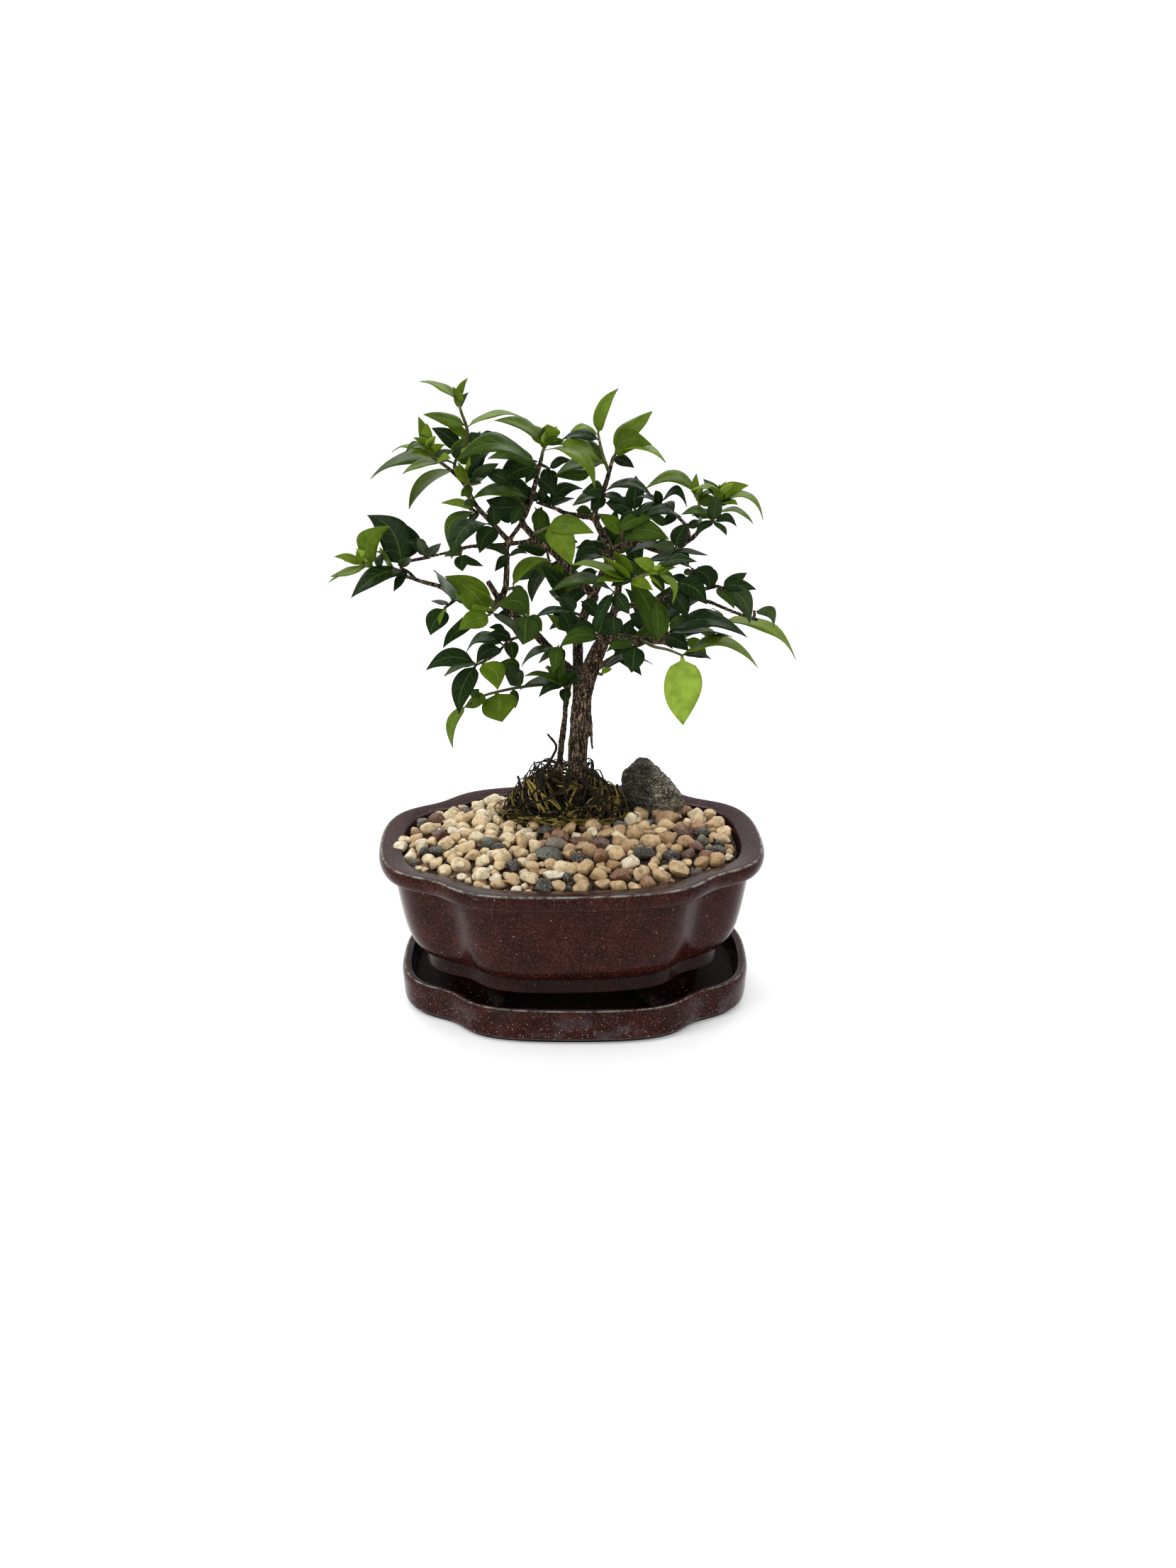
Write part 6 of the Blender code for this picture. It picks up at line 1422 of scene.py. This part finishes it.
      (1, 33, 164, 8, 0), (1, 41, 170, 8, 1), (0.9, 22, 169, 7, 1), (0.9, 53, 164, 7, 2))),
    ("rear_middle", "DDDDMDD",
     ((-8, 176, 25), (-9, 181, 27), (-10, 187, 28)),
     ((0.2, -22, 172, 8, 2), (0.3, 4, 170, 8, 2), (0.7, -22, 186, 8, 2), (0.8, 3, 188, 8, 2),
      (1, -13, 202, 8, 0), (0.1, -2, 161, 7, 1), (0.4, -16, 163, 6, 1))),
    ("rear_high", "DDDDDDD",
     ((22, 190, 20), (24, 195, 22.5), (26, 201, 24)),
     ((0.3, 10, 186, 8, 2), (0.3, 36, 183, 8, 2), (0.8, 14, 204, 8, 2), (0.8, 40, 200, 7, 2),
      (1, 26, 215, 8, 0), (0.1, 28, 175, 8, 1), (0.2, 15, 177, 6, 1))),
)

# %% Where the solid model has a twig's start and a leaf's tip
TWIG_RADIUS = (0.8, 0.55)
SKIN_SLACK = 0.08
START_STEP = 0.15
START_STEPS = 60
USUAL_GAP = 0.3
FIRST_LEAF = 1.4
LAST_LEAF = 0.5
SIGHT_SLACK = 0.9  # how near a corner must lie to the line of sight, mm
TIP_FROM_ROOT = 2.0  # mm; nearer corners belong to the twig
SAME_TIP = 1.6  # mm in depth, within which corners belong to one tip
BLADE_RATIO = 0.40  # least width by length; a leaf that looks narrower is turned on edge
MAX_WIDTH = 12.0
LEAF_THICKNESS = 0.28


def route_length(points):
    """Length of a route from point to point."""
    return sum((after - before).length for before, after in zip(points, points[1:]))


def along_route(points, distance):
    """The point at a distance from a route's start."""
    for before, after in zip(points, points[1:]):
        length = (after - before).length
        if distance <= length:
            return before.lerp(after, distance / length)
        distance -= length
    return points[-1].copy()


def start_gap(points, corners):
    """How far along its route the solid twig starts, clear of the limb that bears it."""
    length = route_length(points)
    for step in range(START_STEPS):
        distance = step * START_STEP
        place = along_route(points, min(distance, length))
        if min((corner - place).length for corner in corners) < TWIG_RADIUS[0] + SKIN_SLACK:
            return distance
    return USUAL_GAP


def tip_in_depth(x, z, root, corners):
    """The solid leaf's tip on the line of sight through its drawn place, in mm."""
    ahead = (spot(x, z) - EYE).normalized()
    found = []
    for corner in corners:
        reach = (corner - EYE).dot(ahead)
        off = (corner - EYE - ahead * reach).length
        if off < SIGHT_SLACK and (corner - root).length > TIP_FROM_ROOT:
            found.append((off, reach))
    if not found:
        return EYE + ahead * (root - EYE).dot(ahead), False
    nearest = min(found)
    near = [reach for off, reach in found if abs(reach - nearest[1]) < SAME_TIP]
    return EYE + ahead * (sum(near) / len(near)), True


# %% Shape of one placed leaf
LEAF_RNG = random.Random(83)
FOLD = 0.16  # how far the two halves rise from the midrib,
ROUNDING = 0.10  # and how far they bend back, both by half the width
WAVE = (0.02, 0.09)  # height of the margin's waves, by the width
WAVES = 2.2  # half waves from base to tip
WAVE_OFFSET = 1.3  # so that the two margins aren't alike
CURL = (0.02, 0.07)  # by the length
SKEW = 0.05


def leaf_frame(base, tip, seen_width, arch):
    """Directions across the leaf and of its upper side, its arch, and its real width."""
    sight = (base - EYE).normalized()
    chord = tip - base
    ahead = chord.normalized()
    level = sight.cross(ahead).normalized()
    rise = level if level.z > 0.1 or (abs(level.z) <= 0.1 and level.x < 0) else -level
    inward = ahead.cross(level).normalized()
    width = max(seen_width, min(BLADE_RATIO * chord.length, MAX_WIDTH))
    turn = math.acos(min(1.0, seen_width / width))
    choices = [level * math.cos(turn) + inward * math.sin(turn) * side for side in (1, -1)]
    across = max(choices, key=lambda vector: abs(ahead.cross(vector).z))
    upper = ahead.cross(across).normalized()
    if upper.z < 0:
        across, upper = -across, -upper
    return across, upper, rise * arch, width


def placed_leaf(base, tip, seen_width, arch):
    """Points of one leaf in mm, in the order of the flat leaf's points."""
    across, upper, bulge, width = leaf_frame(base, tip, seen_width, arch)
    length = (tip - base).length
    wave_phase = LEAF_RNG.uniform(0, 2 * math.pi)
    wave = LEAF_RNG.uniform(*WAVE) * width
    curl = LEAF_RNG.uniform(*CURL) * length
    skew = LEAF_RNG.uniform(-SKEW, SKEW) * width
    points = []
    for u, t in leaf_points:
        hump = 4 * t * (1 - t)
        centre = base.lerp(tip, t) + bulge * hump + upper * curl * hump
        centre += across * skew * math.sin(2 * math.pi * t)
        side = abs(u)
        phase = WAVES * math.pi * t + wave_phase + (WAVE_OFFSET if u > 0 else 0)
        lift = side * FOLD * width / 2 - side ** 2 * ROUNDING * width / 2
        lift += wave * side ** 2 * math.sin(phase)
        points.append(centre + across * u * width / 2 + upper * lift)
    return points


# %% Leaves between the drawn ones
# Tone letter, x and z of the base and of the tip, width and arch. They fill the crown, and
# each one joins the twig that is nearest to its base
MORE_LEAVES = (
    ("D", -28, 151.5, -30, 146, 5, 0), ("M", -22, 135, -21, 128, 4, 0), ("B", -37, 122, -45, 118, 5, 0),
    ("D", -1, 150, -4, 159.5, 7.5, 1), ("M", -3, 151, -10, 158, 4, 1), ("D", -24, 157, -31, 157, 4, 1),
    ("B", -29, 162.5, -17, 157, 9, 5), ("L", -8, 180, -24, 170.5, 5, 1),
    ("D", -22, 196, -34, 205, 9, 2),
    ("B", -5, 179.5, -6.5, 171, 6, 0), ("G", -37.5, 228, -39.5, 232, 5, 0),
    ("D", -20, 199, -27, 214, 12, 2),
    ("G", -31, 226, -40, 212, 3, 1), ("M", -40, 210, -44, 206.5, 4, 0),
    ("G", -41, 206, -40, 200.5, 4, 0),
    ("M", 2, 201, 9, 199, 4, 1), ("D", -7, 203, -14.5, 208, 4, 0), ("L", 60, 209, 48, 208.5, 1.5, 1),
    ("M", 39, 195, 32, 197.5, 4, 1), ("M", 25, 172, 20, 181.5, 7, 1), ("G", 46.5, 177, 49, 174, 3, 0),
    ("B", 54, 148, 63, 145, 4, 1), ("D", -13, 220.5, -28.5, 214.6, 8, 2),
    ("M", -17.1, 205.7, -38, 206.1, 3.7, 2), ("D", -13, 213.9, -5.6, 206.1, 6, 1),
    ("D", 9.9, 206.7, 1, 202.8, 4, 1), ("D", 14.5, 204.2, 22.6, 203.4, 3, 1),
    ("M", -14.4, 202.2, -9.6, 188.5, 6, 1),
    ("M", 19.2, 193, 33.4, 197.6, 6, 2), ("D", 42.1, 185.2, 33.4, 187.1, 4, 1),
    ("D", 27.3, 198.9, 44.8, 198.2, 3, 1),
    ("D", 48.8, 198.9, 60.3, 197.6, 4, 1), ("D", 23.9, 185.2, 36.8, 184.7, 3, 1),
    ("B", 35.3, 164.6, 37.8, 145.1, 7, 0),
    ("B", 47.5, 147.7, 56.3, 140, 5, 1), ("D", 0.4, 158.5, -7.7, 154.4, 8, 1),
    ("D", 17.9, 157.4, 17.3, 148.2, 7.5, 0),
    ("D", 12.5, 148.2, -3.6, 144.6, 5, 2), ("M", -5, 145.1, -7.7, 132.8, 6, 0),
    ("M", -0.9, 128.2, -11, 135.4, 4, 1),
    ("M", -21.1, 133.8, -29.9, 137.4, 6, 1), ("B", -35.9, 123.5, -42, 118.9, 5, 0),
    ("D", -26.5, 149.7, -33.9, 152.3, 3, 1),
    ("D", 11.1, 175.9, 1.8, 171.8, 4, 1), ("D", 36.8, 178, 51.2, 180, 4, 1),
    ("D", 3.9, 163.6, 12.1, 156.4, 6, 1),
    ("D", 26.5, 173.9, 16.2, 169.8, 5, 1), ("D", -24.8, 211.9, -34.1, 216, 6, 1),
    ("L", -7.9, 229.1, -9, 235.2, 8.3, 0), ("L", -5.1, 227.4, 15.3, 217.6, 6, 2.5),
    ("M", 8.7, 215.5, -6.5, 214.7, 5, 0),
    ("L", -41, 211.3, -44.9, 220.3, 2.6, 0), ("Y", -41, 211.3, -38.2, 220.3, 2.4, 0),
    ("L", -41, 211.3, -35.5, 211.8, 3, 1),
    ("Y", -41, 212, -43.2, 215.5, 2.6, 0), ("L", -41, 213, -39.9, 222.4, 2.2, 0),
    ("B", -41, 213, -47, 218.2, 2.4, 0),
    ("G", -35.5, 228.7, -29.1, 231.3, 3, 1))
# Young leaves crowd round a growing tip: how many more each such twig bears
TUFTS = {"left_tip": 7, "high_left_young": 13, "top_shoot": 3, "crown_left_young": 7, "right_young": 8,
         "stub_young": 8, "right_light": 3, "high_left_dark": 6}
# Along the rear limbs, which the photograph hides: the limb, and how many leaves it bears
ALONG_LIMBS = {"rear_right": ("rear_right_limb", 6), "rear_middle": ("rear_limb", 9),
               "rear_high": ("rear_high_limb", 7)}
TUFT_RNG = random.Random(29)
DEPTH_SPREAD = 4.0  # depths of the drawing, which the photograph leaves open
TUFT_AHEAD = 0.8  # how much a tuft's leaves follow their twig
TUFT_UP = Vector((0, 0, 0.4))
TUFT_LENGTHS = (5.0, 10.0)
TUFT_WIDTH = 0.34  # by its length
LIMB_UP = Vector((0, 0.5, 0.5))
LIMB_LENGTHS = (12.0, 19.0)
LIMB_WIDTH = 0.38
SMALL_ARCH = 0.12
limb_points = {row[0]: points for row, (points, _) in zip(LIMBS, limb_routes)}
joined = {}
for letter, x, z, tip_x, tip_z, width, arch in MORE_LEAVES:
    _, name, y = min((math.hypot(x - place[0], z - place[1]), twig[0], place[2])
                     for twig in SPRAYS for place in twig[2])
    tip = spot(tip_x, tip_z, y + TUFT_RNG.uniform(-DEPTH_SPREAD, DEPTH_SPREAD))
    joined.setdefault(name, []).append((spot(x, z, y), tip, width, arch, letter))


def sprouting(base, ahead, up, lengths, width, letter):
    """A leaf that grows from its base in a direction drawn about the given one."""
    heading = ahead + any_direction(TUFT_RNG) + up
    length = TUFT_RNG.uniform(*lengths)
    tip = base + heading.normalized() * length
    return base, tip, length * width, length * SMALL_ARCH, letter


def small_leaves(name, route):
    """Base, tip, width, arch and tone letter of each further leaf of a twig."""
    found = list(joined.get(name, []))
    ahead = (route[-1] - route[-2]).normalized() * TUFT_AHEAD
    for _ in range(TUFTS.get(name, 0)):
        base = route[-1].lerp(route[-2], TUFT_RNG.uniform(0.0, 1.0))
        letter = "LLYBG"[len(found) % 5]
        found.append(sprouting(base, ahead, TUFT_UP, TUFT_LENGTHS, TUFT_WIDTH, letter))
    limb, count = ALONG_LIMBS.get(name, (None, 0))
    for number in range(count):
        bearer = limb_points[limb]
        base = along_route(bearer, route_length(bearer) * (0.35 + 0.6 * number / count))
        letter = "DDM"[number % 3]
        found.append(sprouting(base, Vector(), LIMB_UP, LIMB_LENGTHS, LIMB_WIDTH, letter))
    return found


# %% Leafy twigs
TONE_OF = {"G": 0.04, "D": 0.24, "M": 0.48, "B": 0.72, "L": 0.86, "Y": 1.0}
TONE_STRAY = 0.06
YOUNG = ("L", "B", "Y")  # twigs whose first leaf has such a tone are green
WELD = 0.001  # mm
leaf_count = 0
missed = []
for name, letters, spots_along, leaves in SPRAYS:
    corners = [vertex.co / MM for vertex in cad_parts[name].data.vertices]
    route = [spot(*place) for place in spots_along]
    gap = start_gap(route, corners)
    length = route_length(route) - gap
    verts, faces, tones = [], [], []
    for letter, (share, x, z, seen_width, arch) in zip(letters, leaves):
        distance = max(min(FIRST_LEAF, 0.9 * length), min(share * length, length - LAST_LEAF))
        base = along_route(route, gap + distance)
        tip, seen = tip_in_depth(x, z, base, corners)
        if not seen:
            missed.append((name, x, z))
        add_shape(verts, faces, placed_leaf(base, tip, seen_width, arch), leaf_faces)
        tones.append(unit(TONE_OF[letter] + LEAF_RNG.uniform(-TONE_STRAY, TONE_STRAY)))
    for base, tip, width, arch, letter in small_leaves(name, route):
        add_shape(verts, faces, placed_leaf(base, tip, width, arch), leaf_faces)
        tones.append(TONE_OF[letter])
    leaf_count += len(tones)
    blades = mesh_piece("blades", verts, faces)
    set_attribute(blades, "tone", [tone for tone in tones for _ in leaf_points])
    layer = blades.data.uv_layers.new(name="UVMap")
    for corner, uv in zip(layer.data, leaf_uvs * len(tones)):
        corner.uv = uv
    blades.data.materials.append(leaf)
    select_only(blades)
    bpy.ops.object.mode_set(mode="EDIT")
    bpy.ops.mesh.select_all(action="SELECT")
    bpy.ops.mesh.remove_doubles(threshold=WELD * MM)
    bpy.ops.object.mode_set(mode="OBJECT")
    apply_modifier(blades, "SOLIDIFY", (("thickness", LEAF_THICKNESS * MM), ("offset", 0.0)))
    points = smooth_route(route, 4)
    last = len(points) - 1
    start, end = TWIG_RADIUS
    radii = [start + (end - start) * step / last for step in range(last + 1)]
    twig = tubes("twig", [(points, radii)])
    twig.data.materials.append(shoot if letters[0] in YOUNG else bark)
    select_only(twig, blades)
    bpy.ops.object.join()
    hand_over(blades, name + "_spray", [name], [])
print(leaf_count, "leaves; without a solid tip:", missed)

# %% [markdown]
# ## Measure and finish
# The dressed tree has to fill the same box as the solid one. The solid one's box is printed.

# %% Sizes, then the end
print("solid box: ", cad_box)
